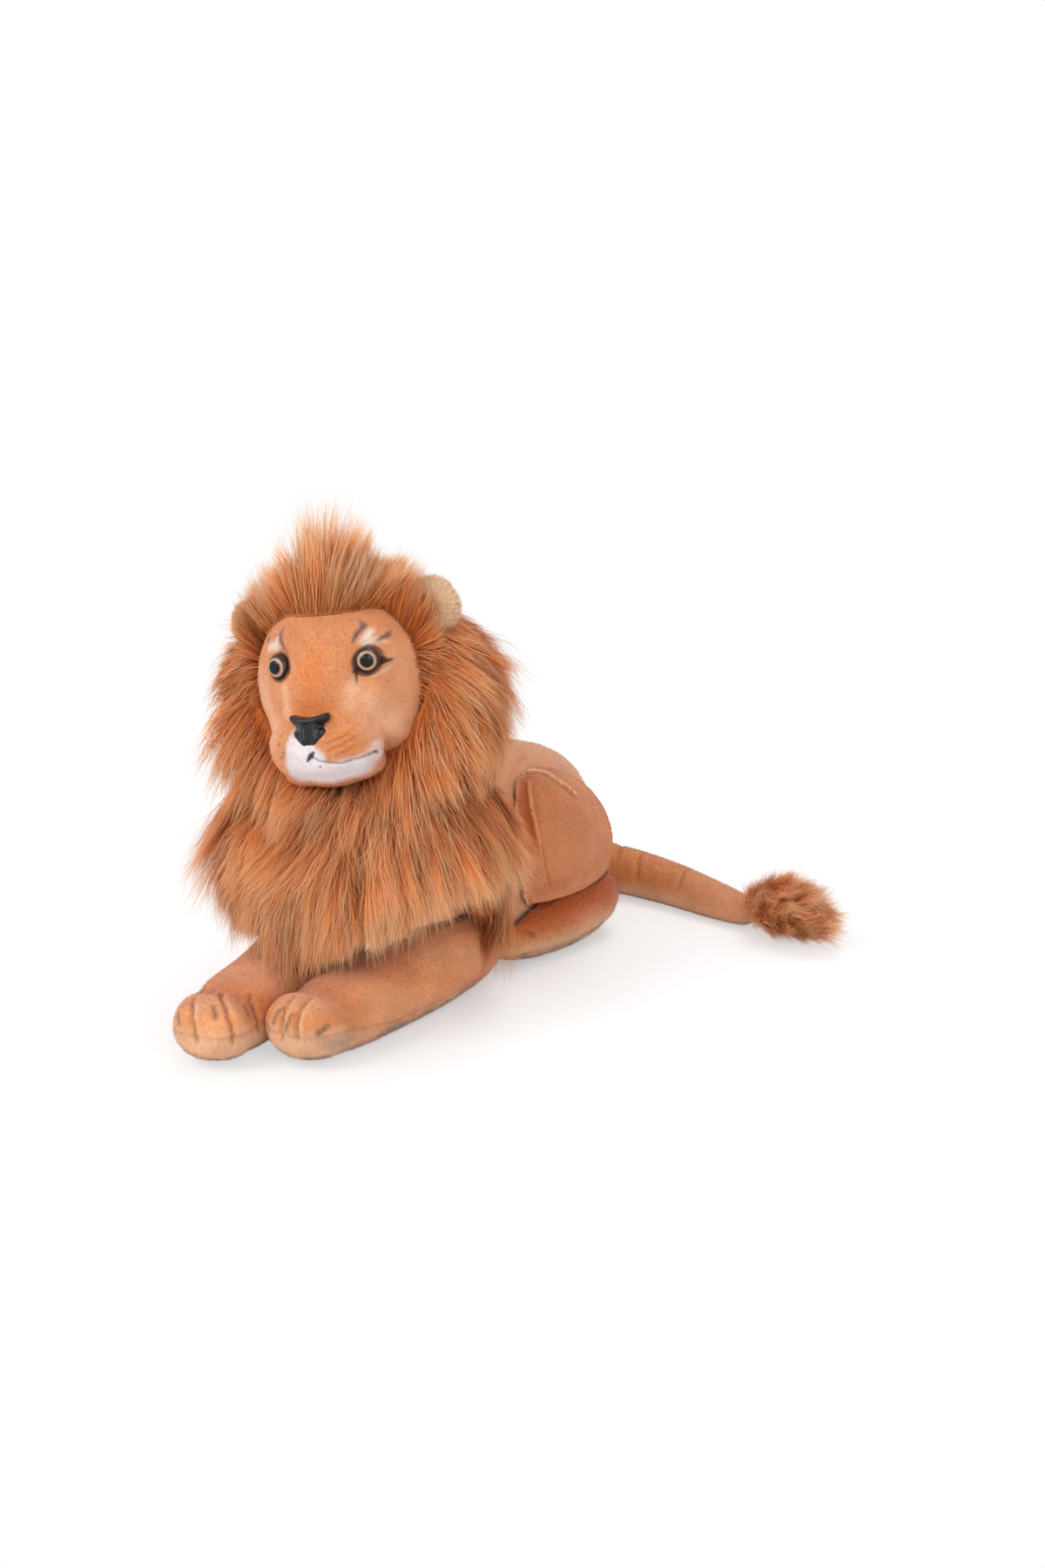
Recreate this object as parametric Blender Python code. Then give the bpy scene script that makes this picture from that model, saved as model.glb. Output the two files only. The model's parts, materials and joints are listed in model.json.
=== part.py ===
"""A plush lion lying with its head up: stuffed forms, long-pile mane, moulded eyes and nose.

The lion faces -Y with its left side at +X. The origin is on the flat of the belly, on the floor.
"""
from math import cos, pi, radians, sin

import bmesh
import bpy
from mathutils import Matrix, Vector

for old in list(bpy.data.objects):
    bpy.data.objects.remove(old, do_unlink=True)

# Clearances
GAP = 0.0003
FLOOR_CUT = 0.0005
OVERRUN = 0.020

# Torso: chest, belly and rump in one stuffed form
TORSO_FRONT = 0.198
TORSO_LENGTH = 0.314
TORSO_WIDTH = 0.124
TORSO_HEIGHT = 0.146
CHEST_UNDERSIDE = 0.056
BELLY_FORWARD = 0.065

# Neck: a stuffed stump with a round top, sewn into the chest
PIVOT_ACROSS = -0.003
PIVOT_FORWARD = 0.140
PIVOT_HEIGHT = 0.210
NECK_BALL_RADIUS = 0.028
NECK_RADIUS = 0.023
NECK_FOOT_DEPTH = 0.122
NOD_LIMIT = radians(10)

# Head, in its own frame: lateral, forward and up from the neck pivot
HEAD_TURN = radians(15)
HEAD_TILT = radians(8.5)
HEAD_LENGTH = 0.118
HEAD_WIDTH = 0.118
HEAD_HEIGHT = 0.110
HEAD_FORWARD = 0.020
HEAD_RISE = 0.017
MUZZLE_LENGTH = 0.064
MUZZLE_WIDTH = 0.068
MUZZLE_HEIGHT = 0.054
MUZZLE_FRONT = 0.097
MUZZLE_DROP = 0.013
CHIN_LENGTH = 0.054
CHIN_WIDTH = 0.056
CHIN_HEIGHT = 0.036
CHIN_FRONT = 0.087
CHIN_DROP = 0.031

# Ears
EAR_SPREAD = 0.060
EAR_FORWARD = 0.012
EAR_RISE = 0.060
EAR_WIDTH = 0.036
EAR_HEIGHT = 0.038
EAR_THICKNESS = 0.016
EAR_CUP_DEPTH = 0.004
EAR_RIM = 0.004
EAR_TILT = radians(28)

# Moulded eyes, each on a ribbed stem held by a washer inside the head
EYE_SPREAD = 0.0300
EYE_ASIDE = 0.0033
EYE_FORWARD = 0.0650
EYE_RISE = 0.0370
EYE_DIAMETER = 0.016
EYE_BULGE = 0.0055
EYE_RIM = 0.0012
EYE_STEM_DIAMETER = 0.005
EYE_STEM_LENGTH = 0.016
EYE_SPLAY = radians(16)
EYE_LIFT = radians(8)
RIB_HEIGHT = 0.0004
RIB_COUNT = 2
WASHER_DIAMETER = 0.013
WASHER_THICKNESS = 0.0022
WASHER_SEAT = 0.0080

# Moulded nose on the same kind of stem
NOSE_WIDTH = 0.0275
NOSE_HEIGHT = 0.0215
NOSE_THICKNESS = 0.010
NOSE_FORWARD = 0.0880
NOSE_RISE = 0.0040
NOSE_TILT = radians(14)

# Mane pieces on the head: ruff round the face, crest above the forehead
BALL_RADIUS = 0.093
RUFF_WIDTH = 0.184
RUFF_DEPTH = 0.140
RUFF_HEIGHT = 0.142
RUFF_FORWARD = 0.012
RUFF_RISE = 0.026
RUFF_SKIRT = 0.020
RUFF_FACE_FORWARD = 0.048
RUFF_FACE_TILT = radians(24)
CROWN_RISE = 0.074
CROWN_TILT = radians(22)
CREST_WIDTH = 0.116
CREST_DEPTH = 0.048
CREST_FORWARD = 0.024
CREST_FOOT = 0.030
CREST_TOP = 0.129
CREST_LEAN = 0.006

# Mane pieces on the chest and shoulders
BELL_WIDTH = 0.198
BELL_DEPTH = 0.186
BELL_FORWARD = 0.144
BELL_TOP = 0.171
CHIN_NOTCH_HEIGHT = 0.142
CHIN_NOTCH_TILT = radians(30)
CHEST_PANEL_HALF = 0.050

# Haunches and hind feet
THIGH_LENGTH = 0.148
THIGH_WIDTH = 0.080
THIGH_HEIGHT = 0.114
THIGH_OUT = 0.043
THIGH_BACK = 0.009
THIGH_CENTRE_HEIGHT = 0.078
FOOT_TOP = 0.045
FOOT_LENGTH = 0.134
FOOT_WIDTH = 0.050
FOOT_HEIGHT = 0.058
FOOT_OUT = 0.060
HEEL_BACK = 0.046
FOOT_TOE_IN = radians(9)
FOOT_SWING = radians(12)
FOOT_SWING_SHARES = (1.0, 0.5, 0.0)

# Forelegs
ARM_LENGTH = 0.210
ARM_WIDTH = 0.064
ARM_HEIGHT = 0.062
ARM_OUT = 0.0425
LEFT_TOE_IN = radians(4.5)
RIGHT_TOE_IN = radians(9)
SHOULDER_FORWARD = 0.098
PAW_LEAD = 0.034

# Sole panels sewn under the feet
SOLE_HEIGHT = 0.009

# Tail
TAIL_ROOT_PROUD = 0.001
TAIL_BALL_RADIUS = 0.0240
TAIL_WIDTH = 0.043
TAIL_REACH = 0.156
TAIL_SAG_BACK = 0.018
TAIL_SWING_FORWARD = radians(10)
TAIL_SWING_BACK = radians(90)
TAIL_SWING_STEP = radians(10)
TUFT_LENGTH = 0.080
TUFT_THICKNESS = 0.048
TUFT_SOCKET = 0.010

# Facets round and along the forms, and the places along a spine that carry its line
SIDES = 24
SMALL_SIDES = 14
SPINE_SHARES = (0.0, 0.33, 0.67, 1.0)

COLOURS = {
    "short_plush": "D08A5B",
    "face_plush": "E2A06F",
    "white_plush": "E9DFDC",
    "mane_pile": "C0703A",
    "sole_plush": "C49A78",
    "eye_acrylic": "2A1812",
    "nose_plastic": "1E1E24",
    "washer_plastic": "E8E6E0",
}
ROUGHNESS = {"eye_acrylic": 0.12, "nose_plastic": 0.25, "washer_plastic": 0.45}


def linear(channel):
    """One sRGB channel as linear light."""
    return channel / 12.92 if channel <= 0.04045 else ((channel + 0.055) / 1.055) ** 2.4


def material(name):
    """A Principled material of one of the named finishes."""
    made = bpy.data.materials.new(name)
    made.use_nodes = True
    shader = made.node_tree.nodes["Principled BSDF"]
    channels = [linear(int(COLOURS[name][i:i + 2], 16) / 255) for i in (0, 2, 4)]
    shader.inputs["Base Color"].default_value = (*channels, 1.0)
    shader.inputs["Roughness"].default_value = ROUGHNESS.get(name, 0.95)
    return made


MATERIALS = {name: material(name) for name in COLOURS}


def closed_mesh(name, verts, faces):
    """A mesh with its faces turned outward."""
    mesh = bpy.data.meshes.new(name)
    mesh.from_pydata(verts, [], faces)
    shell = bmesh.new()
    shell.from_mesh(mesh)
    bmesh.ops.recalc_face_normals(shell, faces=shell.faces)
    shell.to_mesh(mesh)
    shell.free()
    return mesh


def share_at(rows, along, column):
    """A smooth value between the rows of a table of shares."""
    last = len(rows) - 1
    k = max(i for i in range(last) if rows[i][0] <= along or i == 0)
    before, a, b, after = rows[max(k - 1, 0)], rows[k], rows[k + 1], rows[min(k + 2, last)]
    t = (along - a[0]) / (b[0] - a[0])
    rise_a = (b[column] - before[column]) / (b[0] - before[0])
    rise_b = (after[column] - a[column]) / (after[0] - a[0])
    span = b[0] - a[0]
    return ((2 * t**3 - 3 * t**2 + 1) * a[column] + (t**3 - 2 * t**2 + t) * span * rise_a
            + (3 * t**2 - 2 * t**3) * b[column] + (t**3 - t**2) * span * rise_b)


def curve_point(points, along):
    """A point on the smooth line through evenly spaced points."""
    rows = [(i / (len(points) - 1), *p) for i, p in enumerate(points)]
    return Vector(share_at(rows, along, c) for c in (1, 2, 3))


def round_section(share, fullness):
    """The half extents of a unit section, across and over, at a share of the way round."""
    across, over = cos(2 * pi * share), sin(2 * pi * share)
    return (abs(across) ** fullness * (1 if across >= 0 else -1),
            abs(over) ** fullness * (1 if over >= 0 else -1))


def stuffed_mesh(name, spine, width, height, shares, sides=SIDES, rings=16, grow=0.0,
                 over=(0, 0, 1), end_fullness=0.8, section_fullness=0.92):
    """A closed swelling form along a spine; shares hold along, width, height and rise."""
    start, end = curve_point(spine, 0), curve_point(spine, 1)
    verts = []
    for i in range(1, rings):
        along = (1 - cos(pi * i / rings)) / 2
        taper = sin(pi * i / rings) ** end_fullness
        step = 1 / (4 * rings)
        tangent = curve_point(spine, min(along + step, 1)) - curve_point(spine, max(along - step, 0))
        tangent.normalize()
        side = tangent.cross(Vector(over)).normalized()
        up = side.cross(tangent)
        half_width = taper * share_at(shares, along, 1) * width / 2 + grow
        half_height = taper * share_at(shares, along, 2) * height / 2 + grow
        centre = curve_point(spine, along) + up * share_at(shares, along, 3) * height
        centre += tangent * grow * (2 * along - 1)
        for j in range(sides):
            across, upward = round_section((j + 0.5) / sides, section_fullness)
            verts.append(centre + side * half_width * across + up * half_height * upward)
    start_way = (start - curve_point(spine, 1 / rings)).normalized()
    end_way = (end - curve_point(spine, 1 - 1 / rings)).normalized()
    first_up = Vector(over) * share_at(shares, 0, 3) * height
    last_up = Vector(over) * share_at(shares, 1, 3) * height
    verts.append(start + first_up + start_way * grow)
    verts.append(end + last_up + end_way * grow)
    faces = []
    for i in range(rings - 2):
        for j in range(sides):
            k = (j + 1) % sides
            faces.append((i * sides + j, i * sides + k, (i + 1) * sides + k, (i + 1) * sides + j))
    head, foot, base = len(verts) - 2, len(verts) - 1, (rings - 2) * sides
    for j in range(sides):
        k = (j + 1) % sides
        faces.append((head, k, j))
        faces.append((foot, base + j, base + k))
    return closed_mesh(name, verts, faces)


def set_down(mesh, grow=0.0):
    """Lower a form until it reaches the floor, pressed a little flat there."""
    drop = min(v.co.z for v in mesh.vertices) + FLOOR_CUT + grow
    mesh.transform(Matrix.Translation((0, 0, -drop)))
    return mesh


def turned_mesh(name, profile, sides=SMALL_SIDES):
    """A solid turned about Z; the profile runs from the top of the axis to its foot."""
    verts = [Vector((0, 0, profile[0][1])), Vector((0, 0, profile[-1][1]))]
    for radius, height in profile[1:-1]:
        turns = [2 * pi * (j + 0.5) / sides for j in range(sides)]
        verts += [Vector((radius * cos(turn), radius * sin(turn), height)) for turn in turns]
    faces = []
    rows = len(profile) - 2
    for j in range(sides):
        k = (j + 1) % sides
        faces.append((0, 2 + j, 2 + k))
        faces.append((1, 2 + (rows - 1) * sides + k, 2 + (rows - 1) * sides + j))
        for i in range(rows - 1):
            a = 2 + i * sides
            faces.append((a + j, a + sides + j, a + sides + k, a + k))
    return closed_mesh(name, verts, faces)


def running_radius(radius, sides, rings=0):
    """The corner radius of a faceted hollow whose flats clear a turning piece."""
    flat_share = cos(pi / sides) * (cos(pi / (2 * rings)) if rings else 1)
    return (radius + GAP) / flat_share


def ball_mesh(name, radius, sides=SIDES, rings=14):
    """A round ball about the origin."""
    profile = [(radius * sin(pi * i / rings), radius * cos(pi * i / rings)) for i in range(rings + 1)]
    return turned_mesh(name, profile, sides)


def hollow_mesh(name, radius, sides=SIDES, rings=14):
    """The hollow that a ball of this radius turns in."""
    return ball_mesh(name, running_radius(radius, sides, rings), sides, rings)


def rod_mesh(name, radius, top, foot, foot_radius=None, sides=SIDES):
    """A rod or cone about Z between two heights."""
    low = radius if foot_radius is None else foot_radius
    return turned_mesh(name, [(0, top), (radius, top), (low, foot), (0, foot)], sides)


def block_mesh(name, low, high):
    """A box between two corners."""
    corners = [Vector((x, y, z)) for x in (low[0], high[0]) for y in (low[1], high[1])
               for z in (low[2], high[2])]
    faces = [(0, 1, 3, 2), (4, 6, 7, 5), (0, 4, 5, 1), (2, 3, 7, 6), (0, 2, 6, 4), (1, 5, 7, 3)]
    return closed_mesh(name, corners, faces)


def pivot(name, place, parent=None, turn=0.0, tilt=0.0):
    """An empty that stands on a joint's axis."""
    empty = bpy.data.objects.new(name, None)
    empty.location = place
    empty.rotation_euler = (0, -tilt, turn)
    empty.parent = parent
    bpy.context.collection.objects.link(empty)
    return empty


def add_part(mesh, finish, parent=None, matrix=None):
    """One piece of the lion, smooth shaded, under its pivot."""
    part = bpy.data.objects.new(mesh.name, mesh)
    bpy.context.collection.objects.link(part)
    mesh.materials.append(MATERIALS[finish])
    mesh.shade_smooth()
    mesh.set_sharp_from_angle(angle=radians(40))
    part.parent = parent
    part.matrix_basis = matrix or Matrix()
    return part


def cut(part, mesh, parent=None, matrix=None, operation="DIFFERENCE"):
    """Cut or join a part with a hidden guide shape."""
    guide = bpy.data.objects.new(part.name + "_guide", mesh)
    bpy.context.collection.objects.link(guide)
    guide.parent = parent
    guide.matrix_basis = matrix or Matrix()
    guide.hide_render = True
    guide.display_type = "WIRE"
    step = part.modifiers.new(operation.title(), "BOOLEAN")
    step.operation = operation
    step.solver = "EXACT"
    step.object = guide
    return guide


def cut_all(part, guides):
    """Cut a part with several guide shapes, each a mesh with its parent and matrix."""
    for guide in guides:
        cut(part, *guide)


# Joint pivots
NECK_PIVOT = pivot("neck_pivot", (PIVOT_ACROSS, -PIVOT_FORWARD, PIVOT_HEIGHT))
HEAD_PIVOT = pivot("head_pivot", (0, 0, 0), NECK_PIVOT, HEAD_TURN, HEAD_TILT)
SHOULDERS = {side: pivot("shoulder_" + side, (sign * ARM_OUT, -SHOULDER_FORWARD - lead, 0),
                         turn=-sign * toe_in)
             for side, sign, lead, toe_in in (("left", 1, 0, LEFT_TOE_IN),
                                              ("right", -1, PAW_LEAD, RIGHT_TOE_IN))}
HEELS = {side: pivot("heel_" + side, (sign * FOOT_OUT, HEEL_BACK, 0))
         for side, sign in (("left", 1), ("right", -1))}
TAIL_PIVOT = pivot("tail_pivot", (0, TORSO_LENGTH - TORSO_FRONT + TAIL_ROOT_PROUD, 0))
REACH = TORSO_LENGTH + TORSO_HEIGHT


# Shapes that neighbours are cut by, each made again a gap larger
def torso_form(name, grow=0.0):
    """Chest, belly and rump: highest over the shoulders, level below, falling to a round rump."""
    shares = ((0.0, 0.80, 0.70, 0.16), (0.2, 0.96, 0.86, 0.07), (0.42, 1.0, 1.0, 0.0084),
              (0.55, 1.0, 1.0, -0.0003), (0.68, 1.02, 1.02, -0.0117), (0.8, 1.01, 1.06, -0.037),
              (0.9, 0.99, 1.10, -0.0895), (1.0, 0.90, 0.80, -0.20))
    spine = [(0, TORSO_LENGTH * s - TORSO_FRONT, 0) for s in SPINE_SHARES]
    return set_down(stuffed_mesh(name, spine, TORSO_WIDTH, TORSO_HEIGHT, shares, rings=18, grow=grow,
                                 end_fullness=0.62), grow)


def head_form(name, grow=0.0):
    """The head without its muzzle: broad cheeks, a flatter face and a round back."""
    shares = ((0.0, 0.88, 0.86, -0.02), (0.3, 1.0, 1.0, 0.0), (0.6, 1.0, 1.0, 0.0),
              (1.0, 0.90, 0.90, 0.02))
    front = -HEAD_FORWARD - HEAD_LENGTH / 2
    spine = [(0, front + HEAD_LENGTH * s, HEAD_RISE) for s in SPINE_SHARES]
    return stuffed_mesh(name, spine, HEAD_WIDTH, HEAD_HEIGHT, shares, sides=24, rings=14, grow=grow,
                        end_fullness=0.92, section_fullness=0.96)


def muzzle_form(name, grow=0.0):
    """The muzzle, which rises behind the nose into the bridge between the eyes."""
    shares = ((0.0, 0.84, 0.80, -0.02), (0.35, 1.0, 1.0, 0.0), (0.7, 0.86, 0.96, 0.20),
              (1.0, 0.60, 0.70, 0.42))
    spine = [(0, MUZZLE_LENGTH * s - MUZZLE_FRONT, -MUZZLE_DROP) for s in SPINE_SHARES]
    return stuffed_mesh(name, spine, MUZZLE_WIDTH, MUZZLE_HEIGHT, shares, sides=20, rings=12, grow=grow,
                        end_fullness=0.85, section_fullness=0.95)


def ear_form(name, grow=0.0):
    """A small round ear, standing up in its own frame."""
    shares = ((0.0, 0.9, 0.9, 0.0), (0.5, 1.0, 1.0, 0.0), (1.0, 0.9, 0.8, 0.0))
    spine = [(0, 0, EAR_HEIGHT * (s - 0.5)) for s in SPINE_SHARES]
    return stuffed_mesh(name, spine, EAR_WIDTH, EAR_THICKNESS, shares, sides=16, rings=10, grow=grow,
                        over=(0, -1, 0), end_fullness=1.0, section_fullness=1.0)


def crest_form(name, grow=0.0):
    """The upright tuft over the forehead, like a flame."""
    shares = ((0.0, 0.96, 0.96, 0.0), (0.3, 1.0, 1.0, 0.0), (0.6, 0.80, 0.80, 0.0),
              (0.85, 0.56, 0.56, 0.0), (1.0, 0.36, 0.40, 0.0))
    rise = CREST_TOP - CREST_FOOT
    spine = [(0, -CREST_FORWARD - CREST_LEAN * s, CREST_FOOT + rise * s) for s in SPINE_SHARES]
    return stuffed_mesh(name, spine, CREST_WIDTH, CREST_DEPTH, shares, sides=20, rings=12, grow=grow,
                        over=(0, -1, 0), end_fullness=0.6)


def thigh_form(name, sign, grow=0.0):
    """A haunch: a flat swelling panel beside the rump."""
    shares = ((0.0, 0.80, 0.88, 0.02), (0.35, 1.0, 1.0, 0.0), (0.7, 1.0, 0.90, -0.06),
              (1.0, 0.86, 0.70, -0.18))
    start = THIGH_BACK - THIGH_LENGTH / 2
    spine = [(sign * THIGH_OUT, start + THIGH_LENGTH * s, THIGH_CENTRE_HEIGHT) for s in SPINE_SHARES]
    return stuffed_mesh(name, spine, THIGH_WIDTH, THIGH_HEIGHT, shares, sides=22, rings=14, grow=grow,
                        end_fullness=0.85)


def ear_place(sign):
    """Where an ear stands in the head's frame."""
    place = Matrix.Translation((sign * EAR_SPREAD, -EAR_FORWARD, EAR_RISE))
    return place @ Matrix.Rotation(sign * EAR_TILT, 4, "Y")


def below(name, height):
    """Everything lower than a height."""
    return block_mesh(name, (-REACH, -REACH, -REACH), (REACH, REACH, height))


def above(name, height):
    """Everything higher than a height."""
    return block_mesh(name, (-REACH, -REACH, height), (REACH, REACH, REACH))


def other_half(name, sign):
    """Everything past the middle plane, as seen from one side."""
    low, high = sorted((sign * GAP / 2, -sign * REACH))
    return block_mesh(name, (low, -REACH, -REACH), (high, REACH, REACH))


def neck_clearance(name):
    """The room that the neck stump needs while the head nods on it."""
    drop = PIVOT_HEIGHT - CHEST_UNDERSIDE
    narrow = running_radius(NECK_RADIUS, SIDES)
    wide = narrow + drop * sin(NOD_LIMIT) / cos(NOD_LIMIT)
    return rod_mesh(name, narrow, 0, -drop, wide)


def torso_met(parent, turn=0.0):
    """The torso with its gap, as a piece meets it once turned on its own upright axis."""
    return (torso_form("torso_space", GAP), parent,
            Matrix.Rotation(-turn, 4, "Z") @ Matrix.Translation(-parent.location))


# Torso
torso = add_part(torso_form("torso"), "short_plush")
cut(torso, below("floor", 0))
cut(torso, block_mesh("arm_room", (-REACH, -REACH, -REACH), (REACH, -BELLY_FORWARD, CHEST_UNDERSIDE)))
cut(torso, hollow_mesh("neck_cup", BALL_RADIUS, 28, 18), NECK_PIVOT)
cut(torso, rod_mesh("neck_socket", running_radius(NECK_RADIUS, SIDES), 0, -NECK_FOOT_DEPTH - GAP), NECK_PIVOT)
tail_socket = Matrix.Translation((0, 0, TAIL_BALL_RADIUS - FLOOR_CUT))
cut(torso, hollow_mesh("tail_socket", TAIL_BALL_RADIUS, 20, 12), TAIL_PIVOT, tail_socket)

# Neck stump
neck = add_part(ball_mesh("neck", NECK_BALL_RADIUS, 20, 12), "short_plush", NECK_PIVOT)
cut(neck, rod_mesh("neck_stem", NECK_RADIUS, 0, -NECK_FOOT_DEPTH), NECK_PIVOT, None, "UNION")

# Head, muzzle and chin
head = add_part(head_form("head"), "face_plush", HEAD_PIVOT)
cut(head, hollow_mesh("neck_hollow", NECK_BALL_RADIUS, 20, 12), HEAD_PIVOT)
cut(head, neck_clearance("nod_room"), NECK_PIVOT)

muzzle = add_part(muzzle_form("muzzle"), "white_plush", HEAD_PIVOT)
cut(muzzle, head_form("head_space", GAP), HEAD_PIVOT)

chin_shares = ((0.0, 0.86, 0.84, 0.0), (0.4, 1.0, 1.0, 0.0), (1.0, 0.9, 0.9, 0.0))
chin_spine = [(0, CHIN_LENGTH * s - CHIN_FRONT, -CHIN_DROP) for s in SPINE_SHARES]
chin = add_part(stuffed_mesh("chin", chin_spine, CHIN_WIDTH, CHIN_HEIGHT, chin_shares, 16, 10),
                "white_plush", HEAD_PIVOT)
cut(chin, head_form("head_space", GAP), HEAD_PIVOT)
cut(chin, muzzle_form("muzzle_space", GAP), HEAD_PIVOT)

# Ears, each with a shallow cup in front
for side, sign in (("left", 1), ("right", -1)):
    ear = add_part(ear_form("ear_" + side), "face_plush", HEAD_PIVOT, ear_place(sign))
    cup_shares = ((0.0, 0.9, 1.0, 0.0), (0.5, 1.0, 1.0, 0.0), (1.0, 0.9, 1.0, 0.0))
    cup_front = -(EAR_THICKNESS / 2 + EAR_CUP_DEPTH / 2)
    cup_half = EAR_HEIGHT / 2 - EAR_RIM
    cup_spine = [(0, cup_front, cup_half * (2 * s - 1)) for s in SPINE_SHARES]
    cup = stuffed_mesh("ear_cup", cup_spine, EAR_WIDTH - 2 * EAR_RIM, 3 * EAR_CUP_DEPTH, cup_shares,
                       14, 8, over=(0, -1, 0), end_fullness=1.0, section_fullness=1.0)
    cut(ear, cup, HEAD_PIVOT, ear_place(sign))
    cut(ear, head_form("head_space", GAP), HEAD_PIVOT)


# Moulded eyes and nose with their stems and washers
def stem_profile(top, length):
    """The ribbed stem below a moulded piece, from its top ring down."""
    radius = EYE_STEM_DIAMETER / 2
    rows = [(radius, top)]
    pitch = length / (RIB_COUNT + 1)
    for i in range(1, RIB_COUNT + 1):
        rows.append((radius, top - pitch * i))
        rows.append((radius + RIB_HEIGHT, top - pitch * (i + 0.25)))
        rows.append((radius, top - pitch * (i + 0.5)))
    rows += [(radius, top - length), (0, top - length)]
    return rows


def fixing_room(name, seat=()):
    """The bore for a stem with the pocket for its washer, and any seat above them."""
    bore = EYE_STEM_DIAMETER / 2 + RIB_HEIGHT + GAP
    pocket = WASHER_DIAMETER / 2 + GAP
    top, foot = -WASHER_SEAT + GAP, -WASHER_SEAT - WASHER_THICKNESS - GAP
    end = -EYE_RIM - EYE_STEM_LENGTH - GAP
    rows = [(0, seat[0][1]), *seat] if seat else [(0, 0), (bore, 0)]
    rows += [(bore, rows[-1][1])] if seat else []
    rows += [(bore, top), (pocket, top), (pocket, foot), (bore, foot), (bore, end), (0, end)]
    return turned_mesh(name, rows)


def add_washer(name, place):
    """A flat lock washer pushed onto a stem."""
    top, foot = -WASHER_SEAT, -WASHER_SEAT - WASHER_THICKNESS
    washer = add_part(rod_mesh(name, WASHER_DIAMETER / 2, top, foot, sides=SMALL_SIDES),
                      "washer_plastic", HEAD_PIVOT, place)
    hole = EYE_STEM_DIAMETER / 2 + RIB_HEIGHT + GAP
    cut(washer, rod_mesh("stem_hole", hole, 0, -EYE_STEM_LENGTH, sides=SMALL_SIDES), HEAD_PIVOT, place)


eye_radius = EYE_DIAMETER / 2
for side, sign in (("left", 1), ("right", -1)):
    facing = Matrix.Rotation(sign * EYE_SPLAY, 4, "Z") @ Matrix.Rotation(pi / 2 - EYE_LIFT, 4, "X")
    eye_place = Matrix.Translation((sign * EYE_SPREAD + EYE_ASIDE, -EYE_FORWARD, EYE_RISE)) @ facing
    dome = [(eye_radius * sin(a), EYE_BULGE * cos(a)) for a in (0, pi / 10, pi / 5, 3 * pi / 10, 2 * pi / 5)]
    rim = [(eye_radius, 0), (eye_radius, -EYE_RIM)]
    add_part(turned_mesh("eye_" + side, dome + rim + stem_profile(-EYE_RIM, EYE_STEM_LENGTH)),
             "eye_acrylic", HEAD_PIVOT, eye_place)
    seat = [(eye_radius + GAP, 2 * EYE_BULGE), (eye_radius + GAP, -EYE_RIM - GAP)]
    cut(head, fixing_room("eye_room", seat), HEAD_PIVOT, eye_place)
    add_washer("eye_washer_" + side, eye_place)

nose_outline_shares = ((-0.50, 0.30), (-0.44, 0.46), (-0.25, 0.50), (0.0, 0.42), (0.25, 0.50), (0.44, 0.46),
                       (0.50, 0.30), (0.46, 0.10), (0.34, -0.04), (0.26, -0.22), (0.18, -0.40),
                       (0.0, -0.50), (-0.18, -0.40), (-0.26, -0.22), (-0.34, -0.04), (-0.46, 0.10))
nose_layer_shares = ((0.0, 0.94), (0.45, 1.0), (0.80, 0.86), (1.0, 0.55))


def nose_form(name, grow=0.0):
    """The moulded nose: a wide top bar tapering down, domed in front, backed by a flat."""
    verts = []
    for depth, spread in nose_layer_shares:
        forward = depth * NOSE_THICKNESS + (grow if depth > 0 else -grow)
        for across, upward in nose_outline_shares:
            length = (across**2 + upward**2) ** 0.5
            verts.append(Vector((across * (NOSE_WIDTH * spread + grow / length),
                                 upward * (NOSE_HEIGHT * spread + grow / length), forward)))
    count = len(nose_outline_shares)
    faces = [tuple(reversed(range((len(nose_layer_shares) - 1) * count, len(nose_layer_shares) * count))),
             tuple(range(count))]
    for i in range(len(nose_layer_shares) - 1):
        for j in range(count):
            k = (j + 1) % count
            faces.append((i * count + k, i * count + j, (i + 1) * count + j, (i + 1) * count + k))
    return closed_mesh(name, verts, faces)


nose_place = Matrix.Translation((0, -NOSE_FORWARD, NOSE_RISE)) @ Matrix.Rotation(pi / 2 - NOSE_TILT, 4, "X")
nose = add_part(nose_form("nose"), "nose_plastic", HEAD_PIVOT, nose_place)
cut(nose, turned_mesh("nose_stem", [(0, GAP)] + stem_profile(GAP, EYE_STEM_LENGTH)), HEAD_PIVOT, nose_place,
    "UNION")
cut(muzzle, nose_form("nose_seat", GAP), HEAD_PIVOT, nose_place)
for carrier in (muzzle, head):
    cut(carrier, fixing_room("nose_room"), HEAD_PIVOT, nose_place)
add_washer("nose_washer", nose_place)


# Mane on the head: the crest, then the ruff in two halves that meet under the chin
def face_side(name):
    """Everything in front of the plane where the pile starts round the face."""
    return block_mesh(name, (-REACH, -REACH, -REACH), (REACH, 0, REACH))


FACE_PLANE = (Matrix.Translation((0, -RUFF_FACE_FORWARD, -RUFF_SKIRT))
              @ Matrix.Rotation(-RUFF_FACE_TILT, 4, "X"))
CROWN_PLANE = Matrix.Translation((0, 0, CROWN_RISE)) @ Matrix.Rotation(-CROWN_TILT, 4, "X")
HEAD_SPACE = [(head_form("head_space", GAP), HEAD_PIVOT),
              (muzzle_form("muzzle_space", GAP), HEAD_PIVOT),
              (stuffed_mesh("chin_space", chin_spine, CHIN_WIDTH, CHIN_HEIGHT, chin_shares, 16, 10, GAP),
               HEAD_PIVOT)]
EAR_SPACE = [(ear_form("ear_space", GAP), HEAD_PIVOT, ear_place(sign)) for sign in (1, -1)]

crest = add_part(crest_form("mane_crest"), "mane_pile", HEAD_PIVOT)
cut_all(crest, HEAD_SPACE[:1] + EAR_SPACE)

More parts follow.
